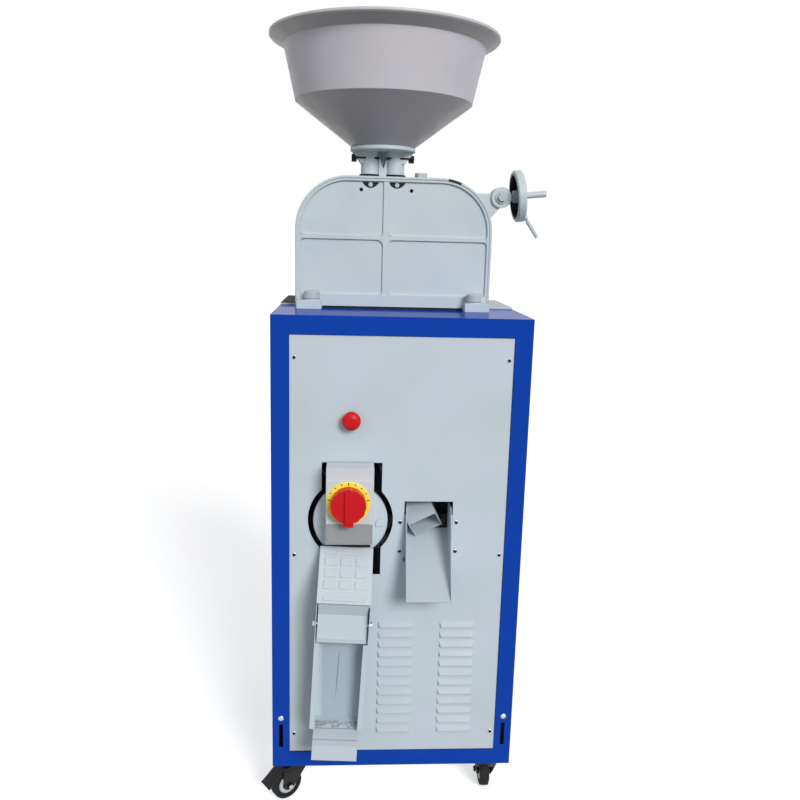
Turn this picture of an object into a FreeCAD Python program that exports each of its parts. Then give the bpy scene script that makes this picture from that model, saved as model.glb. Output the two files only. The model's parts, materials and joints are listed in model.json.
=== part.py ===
import FreeCAD, Part
import math
import os
import re

import Sketcher
from FreeCAD import Placement, Rotation, Vector

# Combined rice mill: a rubber-roller husker with a feed hopper stands on a wheeled cabinet
# that holds the whitening mill, its motor and the bran fan.
# Every position below counts from the cabinet's front bottom middle: X right, Y back, Z up.

SIZES = {
    # cabinet shell, folded sheet
    "cab_wide": 560.0,
    "cab_deep": 484.0,
    "cab_high": 1060.0,
    "cab_x": -20.3,
    "cab_y": -214.5,
    "floor_gap": 105.0,
    "shell": 2.0,
    "border_side": 39.0,
    "border_top": 41.0,
    "border_foot": 38.0,
    "recess": 4.0,
    "lip": 28.0,
    "rear_flange": 30.0,
    "base_thick": 4.0,
    "rear_cover_start": 250.0,
    "rear_cover_rise": 4.0,
    "rear_thick": 1.5,
    "post_slot_wide": 9.0,
    "post_slot_foot": 50.0,
    "post_slot_high": 58.0,
    "post_edge": 20.0,
    "post_bolt_z": 125.0,
    "post_bolt_r": 4.0,
    # front panel
    "panel_thick": 1.5,
    "panel_gap": 0.5,
    "screw_edge": 50.0,
    "screw_top": 970.0,
    "screw_mid": 527.0,
    "screw_low": 85.0,
    "screw_r": 2.5,
    "screw_head_r": 4.5,
    "screw_head_thick": 2.2,
    "key_left": -170.0,
    "key_right": -38.0,
    "key_foot": 480.0,
    "key_top": 740.0,
    "key_r": 94.0,
    "window_left": 13.0,
    "window_right": 121.0,
    "window_foot": 512.0,
    "window_top": 652.0,
    "louvre_wide": 81.0,
    "louvre_high": 14.0,
    "louvre_rise": 6.0,
    "louvre_taper": 4.0,
    "louvre_skin": 1.2,
    "louvre_pitch": 24.0,
    "louvre_foot": 88.0,
    "louvre_left": -40.0,
    "louvre_right": 101.0,
    # stop button
    "stop_x": -107.0,
    "stop_z": 837.0,
    "stop_r": 20.0,
    "stop_collar_r": 17.0,
    "stop_collar_long": 9.0,
    "stop_hole_r": 11.2,
    "stop_stem_r": 8.0,
    "stop_travel_gap": 6.0,
    "stop_head_long": 14.0,
    # isolator switch
    "switch_x": -108.0,
    "switch_z": 571.0,
    "switch_wide": 102.0,
    "switch_high": 171.0,
    "switch_out": 50.0,
    "dial_x": -111.0,
    "dial_z": 666.0,
    "plate_side": 96.0,
    "plate_thick": 3.0,
    "dial_r": 47.5,
    "dial_thick": 2.0,
    "knob_r": 37.0,
    "knob_thick": 14.0,
    "grip_wide": 15.0,
    "grip_rise": 16.0,
    "knob_pin_r": 6.0,
    # whitening mill
    "mill_x": -106.0,
    "mill_z": 609.0,
    "mill_face": 5.0,
    "mill_front_r": 82.0,
    "mill_lug_x": 64.0,
    "mill_lug_drop": 4.0,
    "mill_lug_r": 8.0,
    "mill_lug_rise": 2.5,
    "mill_flange": 15.0,
    "mill_neck_r": 66.0,
    "mill_front_end": 60.0,
    "mill_case_r": 70.0,
    "mill_rear_start": 230.0,
    "mill_rear_r": 78.0,
    "mill_rear_end": 330.0,
    "mill_bore": 45.0,
    "mill_wall": 15.0,
    "mill_shaft_r": 15.0,
    "mill_roller_r": 38.0,
    "mill_roller_start": 64.0,
    "mill_rib_wide": 8.0,
    "mill_rib_rise": 5.0,
    "inlet_y": 285.0,
    "inlet_r": 38.0,
    "inlet_high": 91.0,
    "stand_top": 495.0,
    "stand_high": 36.0,
    "stand_deep": 30.0,
    "stand_front_y": 120.0,
    "stand_rear_y": 262.0,
    "saddle_wide": 120.0,
    "saddle_high": 36.0,
    # rice chute on the mill's front
    "chute_x": -113.0,
    "chute_z": 548.0,
    "chute_tilt": 2.8,
    "throat_wide": 108.0,
    "chute_wall": 1.5,
    "cover_wide": 117.0,
    "cover_out": 84.0,
    "cover_drop": 96.0,
    "cover_thick": 3.0,
    "pad_wide": 24.0,
    "pad_high": 18.0,
    "pad_pitch_x": 34.0,
    "pad_pitch_y": 26.0,
    "pad_rise": 1.8,
    "bar_high": 8.0,
    "throat_out": 58.0,
    "throat_drop": 186.0,
    "flap_top": 88.0,
    "flap_fold": 76.0,
    "flap_fold_drop": 128.0,
    "flap_foot": 80.0,
    "trough_wide": 117.0,
    "trough_back": 44.0,
    "trough_front": 94.0,
    "trough_top": 98.0,
    "trough_rear_top": 124.0,
    "trough_foot": 400.0,
    "trough_lip": 11.0,
    "trough_lip_top": 190.0,
    "pin_out": 68.0,
    "pin_drop": 153.0,
    "pin_r": 3.5,
    "pin_head_r": 7.0,
    "pin_head_long": 6.0,
    "spout_wide": 100.0,
    "spout_out": 98.0,
    "spout_foot": 466.0,
    "spout_bend": 430.0,
    "spout_start": 392.0,
    # tray and duct in the right window
    "tray_wide": 100.0,
    "tray_out": 68.0,
    "tray_foot": 445.0,
    "tray_floor_z": 572.0,
    "tray_in": 50.0,
    "tray_top": 640.0,
    "tray_wall": 1.5,
    "tray_ear": 18.0,
    "duct_wide": 66.0,
    "duct_deep": 58.0,
    "duct_wall": 2.0,
    "duct_mouth_x": 62.0,
    "duct_mouth_y": 14.0,
    "duct_mouth_z": 594.0,
    "duct_gap": 0.3,
    "duct_knee_x": -22.0,
    "duct_knee_y": 241.0,
    "duct_knee_z": 763.0,
    "feed_pipe_r": 36.0,
    # motor
    "motor_x": 95.0,
    "motor_z": 122.0,
    "motor_r": 85.0,
    "motor_start": 110.0,
    "motor_end": 360.0,
    "motor_wall": 8.0,
    "motor_foot_wide": 40.0,
    "motor_foot_gap": 70.0,
    "rotor_r": 55.0,
    "motor_shaft_r": 12.0,
    # bran fan
    "fan_x": -106.0,
    "fan_z": 170.0,
    "fan_r": 95.0,
    "fan_start": 330.0,
    "fan_end": 392.0,
    "fan_wall": 4.0,
    "fan_eye_r": 30.0,
    "fan_blade_r": 78.0,
    "fan_blade_thick": 3.0,
    "fan_hub_r": 22.0,
    "fan_shaft_r": 10.0,
    "fan_foot_wide": 120.0,
    "outlet_x": -168.0,
    "outlet_z": 226.0,
    "outlet_r": 34.0,
    "outlet_end": 522.0,
    "bead_r": 38.0,
    "bead_long": 3.0,
    "bran_pipe_y": 190.0,
    # belt lanes
    "lane_main": 404.0,
    "lane_husker": 424.0,
    "lane_fan": 444.0,
    "belt_wide": 10.0,
    "belt_thick": 8.0,
    "pulley_wide": 16.0,
    "groove_gap": 0.3,
    "main_drive_r": 50.0,
    "mill_pulley_r": 80.0,
    "husker_drive_r": 45.0,
    "fast_pulley_r": 60.0,
    "fan_drive_r": 45.0,
    "fan_pulley_r": 35.0,
    "fit": 0.05,
    # husker casing
    "husker_x": -15.0,
    "husker_front": 180.0,
    "husker_wide": 450.0,
    "husker_high": 298.0,
    "husker_deep": 170.0,
    "husker_r": 120.0,
    "husker_wall": 8.0,
    "husker_face": 12.0,
    "rim": 11.0,
    "field_deep": 5.0,
    "field_foot": 33.0,
    "rib_x": -34.0,
    "rib_wide": 14.0,
    "rib_z": 162.0,
    "rib_high": 10.0,
    "rear_plate": 8.0,
    "foot_edge": 5.0,
    "foot_wide": 56.0,
    "foot_deep": 38.0,
    "foot_high": 19.0,
    "foot_bolt_r": 6.0,
    "foot_cap_r": 17.5,
    "foot_cap_high": 19.0,
    "boss_high": 3.0,
    "boss_r": 18.5,
    "bolt_edge": 39.0,
    "pocket_r": 20.0,
    "pocket_left": -71.0,
    "pocket_right": -11.0,
    "pocket_drop": 13.0,
    "drain_left": -92.0,
    "drain_right": 22.0,
    "drain_z": 268.0,
    "drain_r": 4.0,
    "crown_x": 49.0,
    "crown_nut_r": 14.5,
    "crown_nut_high": 12.0,
    # rollers
    "roller_r": 75.0,
    "roller_gap": 2.0,
    "roller_long": 100.0,
    "roller_start": 215.0,
    "roller_z": 140.0,
    "slow_x": 47.0,
    "roller_shaft_r": 12.5,
    "hub_r": 48.0,
    "yoke_thick": 8.0,
    "yoke_front": 196.0,
    "yoke_bar_gap": 82.0,
    "yoke_bar_thick": 12.0,
    "yoke_pin_x": 60.0,
    "yoke_pin_z": 40.0,
    "yoke_pin_r": 8.0,
    "gear_case_deep": 34.0,
    "gear_case_r": 62.0,
    # adjuster
    "adjust_x": 240.0,
    "adjust_z": 262.5,
    "adjust_tilt": 6.5,
    "boss_round": 24.0,
    "boss_long": 44.0,
    "web_thick": 30.0,
    "screw_rod_r": 7.5,
    "screw_in": 112.0,
    "screw_out": 110.0,
    "wheel_at": 44.0,
    "wheel_r": 60.0,
    "wheel_rim": 13.0,
    "wheel_left": 11.0,
    "wheel_right": 9.0,
    "wheel_web": 5.0,
    "wheel_hub_r": 14.0,
    "crank_r": 52.0,
    "crank_out": 4.6,
    "crank_lug_r": 7.0,
    "crank_pin_r": 2.2,
    "crank_eye_r": 4.0,
    "crank_tongue": 6.0,
    "crank_start": 10.0,
    "crank_long": 54.0,
    "crank_grip_r": 4.9,
    "crank_angle": 62.0,
    # feed neck and hopper
    "hopper_x": -42.0,
    "hopper_y": 265.0,
    "tube_r": 21.5,
    "tube_gap": 59.0,
    "tube_bore": 17.5,
    "neck_foot_high": 9.0,
    "neck_high": 69.0,
    "collar_r": 76.0,
    "collar_high": 8.0,
    "mouth_r": 27.0,
    "gusset_thick": 6.0,
    "gusset_half": 17.0,
    "gusset_high": 28.0,
    "web_deep": 12.0,
    "gate_level": 44.0,
    "gate_thick": 3.0,
    "gate_wide": 37.0,
    "gate_tab_high": 16.0,
    "gate_tab_wide": 12.0,
    "gate_reach": 73.0,
    "gate_gap": 0.4,
    "bowl_foot_r": 72.0,
    "bowl_wall": 2.5,
    "bowl_break_r": 204.0,
    "bowl_break": 98.0,
    "bowl_top_r": 230.0,
    "bowl_top": 216.0,
    "rim_r": 262.0,
    "rim_foot": 232.0,
    "bowl_high": 240.0,
    # belt guard behind the husker
    "guard_x": -20.0,
    "guard_inset": 68.0,
    "guard_high": 250.0,
    "guard_r": 90.0,
    "guard_end": 472.0,
    "guard_wall": 1.5,
    # casters
    "caster_edge": 48.0,
    "caster_front_y": 50.0,
    "caster_rear_y": 434.0,
    "wheel_radius": 37.5,
    "tread_wide": 24.0,
    "caster_trail": 24.0,
    "caster_plate": 3.0,
    "caster_plate_long": 72.0,
    "caster_plate_wide": 60.0,
    "caster_race_r": 22.0,
    "hood_half": 26.0,
    "hood_foot_half": 17.0,
    "hood_axle_half": 19.3,
    "hood_waist": 30.0,
    "hood_wall": 2.0,
    "hood_brow": 40.0,
    "fork_top": 14.0,
    "axle_r": 4.0,
    "axle_head_r": 7.0,
    "axle_head": 4.0,
    "kingpin_r": 6.0,
    "kingpin_head_r": 10.0,
    "pedal_pin_x": 34.0,
    "pedal_pin_drop": 23.0,
    "pedal_pin_r": 2.5,
    "pedal_reach": 82.0,
    "pedal_tip_drop": 56.0,
    "pedal_wide": 36.0,
}

# which way each caster trails, in degrees from the X axis, seen from above
CASTERS = {
    "front_left": (-1, "caster_front_y", 215.0),
    "front_right": (1, "caster_front_y", 88.0),
    "rear_left": (-1, "caster_rear_y", 110.0),
    "rear_right": (1, "caster_rear_y", 60.0),
}

ALONG_X = Rotation(Vector(0, 1, 0), 90)
ALONG_Y = Rotation(Vector(1, 0, 0), -90)
UPRIGHT = Rotation()
TURNS = {"X": ALONG_X, "Y": ALONG_Y, "Z": UPRIGHT}

doc = FreeCAD.newDocument("rice_polisher")
sheet = doc.addObject("Spreadsheet::Sheet", "Sizes")
for row, (alias, number) in enumerate(SIZES.items(), start=1):
    sheet.set(f"A{row}", alias)
    sheet.set(f"B{row}", str(number))
    sheet.setAlias(f"B{row}", alias)
doc.recompute()

pieces = []


def rule(text):
    """Point every size name in an expression at its cell in the sheet."""
    def cell(word):
        return "Sizes." + word.group() if word.group() in SIZES else word.group()
    return re.sub(r"[a-z_]+", cell, str(text))


def size(alias):
    return float(sheet.get(alias))


def place(thing, x, y, z):
    for axis, text in (("x", x), ("y", y), ("z", z)):
        thing.setExpression("Placement.Base." + axis, rule(text))


def box(name, x, y, z, wide, deep, high):
    thing = doc.addObject("Part::Box", name)
    thing.setExpression("Length", rule(wide))
    thing.setExpression("Width", rule(deep))
    thing.setExpression("Height", rule(high))
    place(thing, x, y, z)
    return thing


def rod(name, axis, x, y, z, radius, length):
    thing = doc.addObject("Part::Cylinder", name)
    thing.setExpression("Radius", rule(radius))
    thing.setExpression("Height", rule(length))
    thing.Placement = Placement(Vector(), TURNS[axis])
    place(thing, x, y, z)
    return thing


def nut(name, axis, x, y, z, radius, length):
    thing = doc.addObject("Part::Prism", name)
    thing.Polygon = 6
    thing.setExpression("Circumradius", rule(radius))
    thing.setExpression("Height", rule(length))
    thing.Placement = Placement(Vector(), TURNS[axis])
    place(thing, x, y, z)
    return thing


def cone(name, axis, x, y, z, first, second, length):
    thing = doc.addObject("Part::Cone", name)
    thing.setExpression("Radius1", rule(first))
    thing.setExpression("Radius2", rule(second))
    thing.setExpression("Height", rule(length))
    thing.Placement = Placement(Vector(), TURNS[axis])
    place(thing, x, y, z)
    return thing


def fuse(name, *parts):
    thing = doc.addObject("Part::MultiFuse", name)
    thing.Shapes = list(parts)
    thing.Refine = True
    return thing


def group(name, *parts):
    thing = doc.addObject("Part::Compound", name)
    thing.Links = list(parts)
    return thing


def cut(name, base, *tools):
    thing = doc.addObject("Part::Cut", name)
    thing.Base = base
    thing.Tool = tools[0] if len(tools) == 1 else group(name + "_tools", *tools)
    return thing


def common(name, *parts):
    thing = doc.addObject("Part::MultiCommon", name)
    thing.Shapes = list(parts)
    return thing


def new_sketch(body, plane):
    sketch = body.newObject("Sketcher::SketchObject", body.Name + "_outline")
    flat = [face for face in body.Origin.OriginFeatures if face.Role == plane + "_Plane"][0]
    sketch.AttachmentSupport = [(flat, "")]
    sketch.MapMode = "FlatFace"
    return sketch


def pin_point(sketch, line, end, across, up):
    """Hold one end of a sketch line at a place given by two expressions."""
    for kind, text in (("DistanceX", across), ("DistanceY", up)):
        index = sketch.addConstraint(Sketcher.Constraint(kind, -1, 1, line, end, 10.0))
        sketch.setExpression(f"Constraints[{index}]", rule(text))


def outline(sketch, corners):
    """A closed chain of straight lines through the corners."""
    count = len(corners)
    ring = [Vector(20 * math.cos(2 * math.pi * k / count), 20 * math.sin(2 * math.pi * k / count), 0)
            for k in range(count)]
    for k in range(count):
        sketch.addGeometry(Part.LineSegment(ring[k], ring[(k + 1) % count]), False)
    for k in range(count):
        sketch.addConstraint(Sketcher.Constraint("Coincident", k, 2, (k + 1) % count, 1))
    for k, (across, up) in enumerate(corners):
        pin_point(sketch, k, 1, across, up)


def arch_outline(sketch, middle, foot, wide, high, radius):
    """A wall with two round upper corners."""
    half, low, top, bend = 200, 1000, 1250, 90
    lines = (((-half, low), (half, low)), ((half, low), (half, top - bend)),
             ((half - bend, top), (bend - half, top)), ((-half, top - bend), (-half, low)))
    for start, end in lines:
        sketch.addGeometry(Part.LineSegment(Vector(*start, 0), Vector(*end, 0)), False)
    quarter = math.pi / 2
    for centre, start in (((half - bend, top - bend), 0.0), ((bend - half, top - bend), quarter)):
        circle = Part.Circle(Vector(*centre, 0), Vector(0, 0, 1), bend)
        sketch.addGeometry(Part.ArcOfCircle(circle, start, start + quarter), False)
    sketch.addConstraint(Sketcher.Constraint("Coincident", 0, 2, 1, 1))
    sketch.addConstraint(Sketcher.Constraint("Coincident", 3, 2, 0, 1))
    sketch.addConstraint(Sketcher.Constraint("Horizontal", 0))
    sketch.addConstraint(Sketcher.Constraint("Horizontal", 2))
    sketch.addConstraint(Sketcher.Constraint("Vertical", 1))
    sketch.addConstraint(Sketcher.Constraint("Vertical", 3))
    sketch.addConstraint(Sketcher.Constraint("Tangent", 1, 2, 4, 1))
    sketch.addConstraint(Sketcher.Constraint("Tangent", 4, 2, 2, 1))
    sketch.addConstraint(Sketcher.Constraint("Tangent", 2, 2, 5, 1))
    sketch.addConstraint(Sketcher.Constraint("Tangent", 5, 2, 3, 1))
    pin_point(sketch, 0, 1, f"({middle}) - ({wide}) / 2", foot)
    width = sketch.addConstraint(Sketcher.Constraint("DistanceX", 0, 1, 0, 2, 100.0))
    sketch.setExpression(f"Constraints[{width}]", rule(wide))
    for arc in (4, 5):
        bend = sketch.addConstraint(Sketcher.Constraint("Radius", arc, 20.0))
        sketch.setExpression(f"Constraints[{bend}]", rule(radius))
    top = sketch.addConstraint(Sketcher.Constraint("DistanceY", 0, 1, 2, 1, 80.0))
    sketch.setExpression(f"Constraints[{top}]", rule(f"{high}"))


def pad_body(name, draw, plane, start, length):
    """Pad a drawn outline from start over length along the axis that the plane leaves free."""
    body = doc.addObject("PartDesign::Body", name)
    sketch = new_sketch(body, plane)
    draw(sketch)
    pad = body.newObject("PartDesign::Pad", name + "_pad")
    pad.Profile = sketch
    pad.setExpression("Length", rule(length))
    pad.Reversed = plane == "XZ"
    sketch.Visibility = False
    free = {"XY": "z", "XZ": "y", "YZ": "x"}[plane]
    body.setExpression("Placement.Base." + free, rule(start))
    return body


def prism(name, plane, corners, start, length):
    return pad_body(name, lambda sketch: outline(sketch, corners), plane, start, length)


def arch(name, middle, foot, wide, high, radius, start, length):
    def draw(sketch):
        arch_outline(sketch, middle, foot, wide, high, radius)
    return pad_body(name, draw, "XZ", start, length)


def turned(name, axis, corners, x, y, z):
    """Turn an outline of (along, radius) corners about an axis through x, y, z."""
    body = doc.addObject("PartDesign::Body", name)
    sketch = new_sketch(body, "YZ" if axis == "Y" else "XZ")
    if axis == "Z":
        outline(sketch, [(radius, along) for along, radius in corners])
    else:
        outline(sketch, corners)
    spin = body.newObject("PartDesign::Revolution", name + "_turn")
    spin.Profile = sketch
    spin.ReferenceAxis = (sketch, ["V_Axis" if axis == "Z" else "H_Axis"])
    spin.Angle = 360
    sketch.Visibility = False
    place(body, x, y, z)
    return body


def shape_piece(name, shape):
    thing = doc.addObject("Part::Feature", name)
    thing.Shape = shape
    return thing


def piece(label, thing, turn=None):
    """Name a finished sub-part and carry it from the cabinet's corner into the machine's frame."""
    held = {path.lstrip("."): text for path, text in thing.ExpressionEngine}
    if turn is not None:
        thing.Placement = Placement(thing.Placement.Base, turn)
    for axis, shift in (("x", "cab_x"), ("y", "cab_y"), ("z", "floor_gap")):
        path = "Placement.Base." + axis
        thing.setExpression(path, f"Sizes.{shift} + ({held.get(path, 0)})")
    thing.Label = label
    pieces.append(thing)
    return thing


def side_panel(label, side):
    """Side sheet with the folded front border, the rebate for the front panel and a rear flange."""
    wall = f"{side} * cab_wide / 2"
    steps = (("0", "0"), ("border_side", "0"), ("border_side", "recess"),
             ("border_side + lip", "recess"), ("border_side + lip", "recess + shell"),
             ("border_side - shell", "recess + shell"), ("border_side - shell", "shell"),
             ("shell", "shell"), ("shell", "cab_deep - shell"),
             ("rear_flange", "cab_deep - shell"), ("rear_flange", "cab_deep"), ("0", "cab_deep"))
    corners = [(f"{wall} - {side} * ({inward})", back) for inward, back in steps]
    sheet_body = prism(label + "_sheet", "XY", corners, "0", "cab_high - shell")
    slot = box(label + "_slot", f"{side} * (cab_wide / 2 - post_edge) - post_slot_wide / 2", "-shell",
               "post_slot_foot", "post_slot_wide", "3 * shell", "post_slot_high")
    hole = rod(label + "_hole", "Y", f"{side} * (cab_wide / 2 - post_edge)", "-shell", "post_bolt_z",
               "post_bolt_r + fit", "3 * shell")
    screws = [rod(label + "_screw_hole", "Y", f"{side} * (cab_wide / 2 - screw_edge)", "recess - 1", level,
                  "screw_r + fit", "shell + 2") for level in ("screw_top", "screw_mid", "screw_low")]
    piece(label, cut(label + "_cut", sheet_body, slot, hole, *screws))


def front_leg(name, foot, high):
    return box(name, "border_side - cab_wide / 2", "0", foot, "cab_wide - 2 * border_side",
               "shell", high)


def folded_lip(name, edge, way):
    """The step and lip that the front panel's edge lies against; way is up or down."""
    steps = (("0", "0"), ("recess", "0"), ("recess", "lip"), ("recess + shell", "lip"),
             ("recess + shell", "-shell"), ("0", "-shell"))
    corners = [(out, f"{edge} + ({way}) * ({rise})") for out, rise in steps]
    return prism(name, "YZ", corners, "border_side + lip - cab_wide / 2",
                 "cab_wide - 2 * border_side - 2 * lip")


def cabinet_shell():
    side_panel("left_side_panel", -1)
    side_panel("right_side_panel", 1)
    plate = box("top_plate", "-cab_wide / 2", "0", "cab_high - shell", "cab_wide", "cab_deep", "shell")
    leg = front_leg("top_leg", "cab_high - border_top", "border_top")
    lip = folded_lip("top_lip", "cab_high - border_top", -1)
    mouth = box("husker_mouth", "husker_x - husker_wide / 2 + 2 * husker_wall + foot_wide",
                "husker_front + foot_deep", "cab_high - 2 * shell",
                "husker_wide - 4 * husker_wall - 2 * foot_wide",
                "husker_deep - foot_deep - husker_wall", "4 * shell")
    slot = belt_slot("top_belt_slot")
    piece("top_panel", cut("top_cut", fuse("top_fold", plate, leg, lip), mouth, slot))
    sill = fuse("sill_fold", front_leg("sill_leg", "0", "border_foot"),
                folded_lip("sill_lip", "border_foot", 1))
    piece("bottom_sill", sill)
    piece("base_plate", box("base_sheet", "shell - cab_wide / 2", "recess + shell", "0",
                            "cab_wide - 2 * shell", "cab_deep - recess - 2 * shell", "base_thick"))


def belt_slot(name):
    return box(name, "mill_x - fast_pulley_r - 12", "lane_husker - 8", "cab_high - 2 * shell",
               "2 * fast_pulley_r + 24", "pulley_wide + 16", "rear_cover_rise + 4 * shell")


def rear_cover():
    outer = box("rear_cover_sheet", "-cab_wide / 2", "rear_cover_start", "cab_high", "cab_wide",
                "cab_deep - rear_cover_start", "rear_cover_rise")
    inner = box("rear_cover_hollow", "shell - cab_wide / 2", "rear_cover_start + shell",
                "cab_high - shell", "cab_wide - 2 * shell",
                "cab_deep - rear_cover_start - 2 * shell", "rear_cover_rise")
    notch = box("rear_cover_notch", "husker_x - husker_wide / 2 - 3", "rear_cover_start - 1",
                "cab_high - shell", "husker_wide + 6",
                "husker_front + husker_deep + rear_plate + foot_deep + 3 - rear_cover_start + 1",
                "rear_cover_rise + 2 * shell")
    piece("rear_top_cover", cut("rear_cover_cut", outer, inner, notch, belt_slot("cover_belt_slot")))


def rear_panel():
    margin = 10
    plate = box("rear_sheet", f"{margin} - cab_wide / 2", "cab_deep", f"{margin}",
                f"cab_wide - 2 * {margin}", "rear_thick", f"cab_high - 2 * {margin}")
    hole = rod("rear_outlet_hole", "Y", "outlet_x", "cab_deep - 1", "outlet_z", "outlet_r + 1",
               "rear_thick + 2")
    vents = [box("rear_vent", "motor_x - motor_r", "cab_deep - 1",
                 f"louvre_foot + {k} * louvre_pitch", "2 * motor_r", "rear_thick + 2",
                 "louvre_high / 2") for k in range(8)]
    piece("rear_panel", cut("rear_cut", plate, hole, *vents))


def louvre(name, left, row, shrink):
    """One pressed hood: a tapered wedge that opens downwards; shrink makes the hollow inside it."""
    hood = doc.addObject("Part::Wedge", name)
    low = f"louvre_foot + {row} * louvre_pitch"
    inside = f"{shrink} * louvre_skin"
    rules = {
        "Xmin": f"{left} + {inside}", "Xmax": f"{left} + louvre_wide - {inside}",
        "X2min": f"{left} + louvre_taper + {inside}",
        "X2max": f"{left} + louvre_wide - louvre_taper - {inside}",
        "Zmin": f"{low} - {inside}", "Zmax": f"{low} + louvre_high - {inside}",
        "Z2min": f"{low} - {inside}", "Z2max": f"{low} + louvre_high / 6",
        "Ymin": f"{shrink} * (-2 * panel_thick)", "Ymax": f"louvre_rise - {inside}",
    }
    for prop, text in rules.items():
        hood.setExpression(prop, rule(text))
    return hood


def front_panel():
    front = "recess - panel_thick"
    plate = box("panel_sheet", "border_side - cab_wide / 2 + panel_gap", front,
                "border_foot + panel_gap", "cab_wide - 2 * border_side - 2 * panel_gap",
                "panel_thick", "cab_high - border_top - border_foot - 2 * panel_gap")
    through = 4
    key_block = box("key_block", "key_left", f"{front} - {through}", "key_foot",
                    "key_right - key_left", f"2 * {through}", "key_top - key_foot")
    key_round = rod("key_round", "Y", "mill_x", f"{front} - {through}", "mill_z", "key_r",
                    f"2 * {through}")
    window = box("window", "window_left", f"{front} - {through}", "window_foot",
                 "window_right - window_left", f"2 * {through}", "window_top - window_foot")
    stop = rod("stop_hole", "Y", "stop_x", f"{front} - {through}", "stop_z", "stop_hole_r",
               f"2 * {through}")
    holes = [rod("panel_hole", "Y", f"{side} * (cab_wide / 2 - screw_edge)", f"{front} - {through}", level,
                 "screw_r + fit", f"2 * {through}")
             for side in (-1, 1) for level in ("screw_top", "screw_mid", "screw_low")]
    holes += [rod("ear_hole", "Y", x, f"{front} - {through}", level, "screw_r + fit",
                  f"2 * {through}") for x, level in ear_screws()]
    spots = [(left, row) for left in ("louvre_left", "louvre_right") for row in range(12)]
    # the wedges rise along +Y, so they are drawn from the back of a mirrored front face
    hoods = [hood_at(left, row, 0) for left, row in spots]
    hollows = [hood_at(left, row, 1) for left, row in spots]
    whole = fuse("panel_with_hoods", plate, *hoods)
    piece("front_panel", cut("panel_cut", whole, key_block, key_round, window, stop, *holes,
                             *hollows))


def hood_at(left, row, shrink):
    """Place one louvre wedge with its open edge below and its rise towards the front."""
    hood = louvre("hood" if shrink == 0 else "hollow", f"-({left}) - louvre_wide", row, shrink)
    hood.Placement = Placement(Vector(), Rotation(Vector(0, 0, 1), 180))
    place(hood, "0", "recess - panel_thick", "0")
    return hood


def ear_screws():
    """The four screws that hold the tray's ears behind the panel."""
    left = "(window_left + window_right) / 2 - tray_wide / 2 - tray_ear / 2 - 4"
    right = "(window_left + window_right) / 2 + tray_wide / 2 + tray_ear / 2 + 4"
    return [(x, level) for x in (left, right) for level in ("window_foot + 24", "window_foot + 92")]


def screw(name, x, y, z, head_r, head, stem_r, stem):
    """A round-headed screw whose head stands on the plane y and whose stem runs back."""
    corners = (("-(" + head + ")", "0"), ("-(" + head + ")", f"0.6 * ({head_r})"),
               (f"-0.5 * ({head})", head_r), ("0", head_r), ("0", stem_r), (stem, stem_r), (stem, "0"))
    return turned(name, "Y", corners, x, y, z)


def panel_screws():
    front = "recess - panel_thick"
    small = [screw("panel_screw", f"{side} * (cab_wide / 2 - screw_edge)", front, level, "screw_head_r",
                   "screw_head_thick", "screw_r", "panel_thick + shell")
             for side in (-1, 1) for level in ("screw_top", "screw_mid", "screw_low")]
    small += [screw("ear_screw", x, front, level, "screw_head_r", "screw_head_thick", "screw_r",
                    "panel_thick + tray_wall") for x, level in ear_screws()]
    posts = [screw("post_bolt", f"{side} * (cab_wide / 2 - post_edge)", "0", "post_bolt_z", "1.6 * post_bolt_r",
                   "post_bolt_r", "post_bolt_r", "shell + 6") for side in (-1, 1)]
    piece("panel_screws", group("screw_set", *small, *posts))


def stop_button():
    front = "recess - panel_thick"
    collar = (("0", "stop_stem_r + fit"), ("0", "stop_hole_r - fit"),
              ("panel_thick + 12", "stop_hole_r - fit"), ("panel_thick + 12", "stop_stem_r + fit"))
    rear = turned("stop_barrel", "Y", collar, "stop_x", front, "stop_z")
    ring = turned("stop_ring", "Y",
                  (("0", "stop_stem_r + fit"), ("-stop_collar_long", "stop_stem_r + fit"),
                   ("-stop_collar_long", "stop_collar_r - 3"), ("-stop_collar_long / 2", "stop_collar_r"),
                   ("0", "stop_collar_r")), "stop_x", front, "stop_z")
    piece("estop_collar", fuse("stop_collar", rear, ring))
    base = "-(stop_collar_long + stop_travel_gap)"
    head = (("panel_thick + 10", "0"), ("panel_thick + 10", "stop_stem_r"), (base, "stop_stem_r"),
            (base, "stop_r - 2"), (f"{base} - 3", "stop_r"), (f"{base} - stop_head_long / 2", "stop_r"),
            (f"{base} - 0.85 * stop_head_long", "0.75 * stop_r"),
            (f"{base} - stop_head_long", "0.4 * stop_r"), (f"{base} - stop_head_long", "0"))
    piece("estop_button", turned("stop_head", "Y", head, "stop_x", front, "stop_z"))


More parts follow.
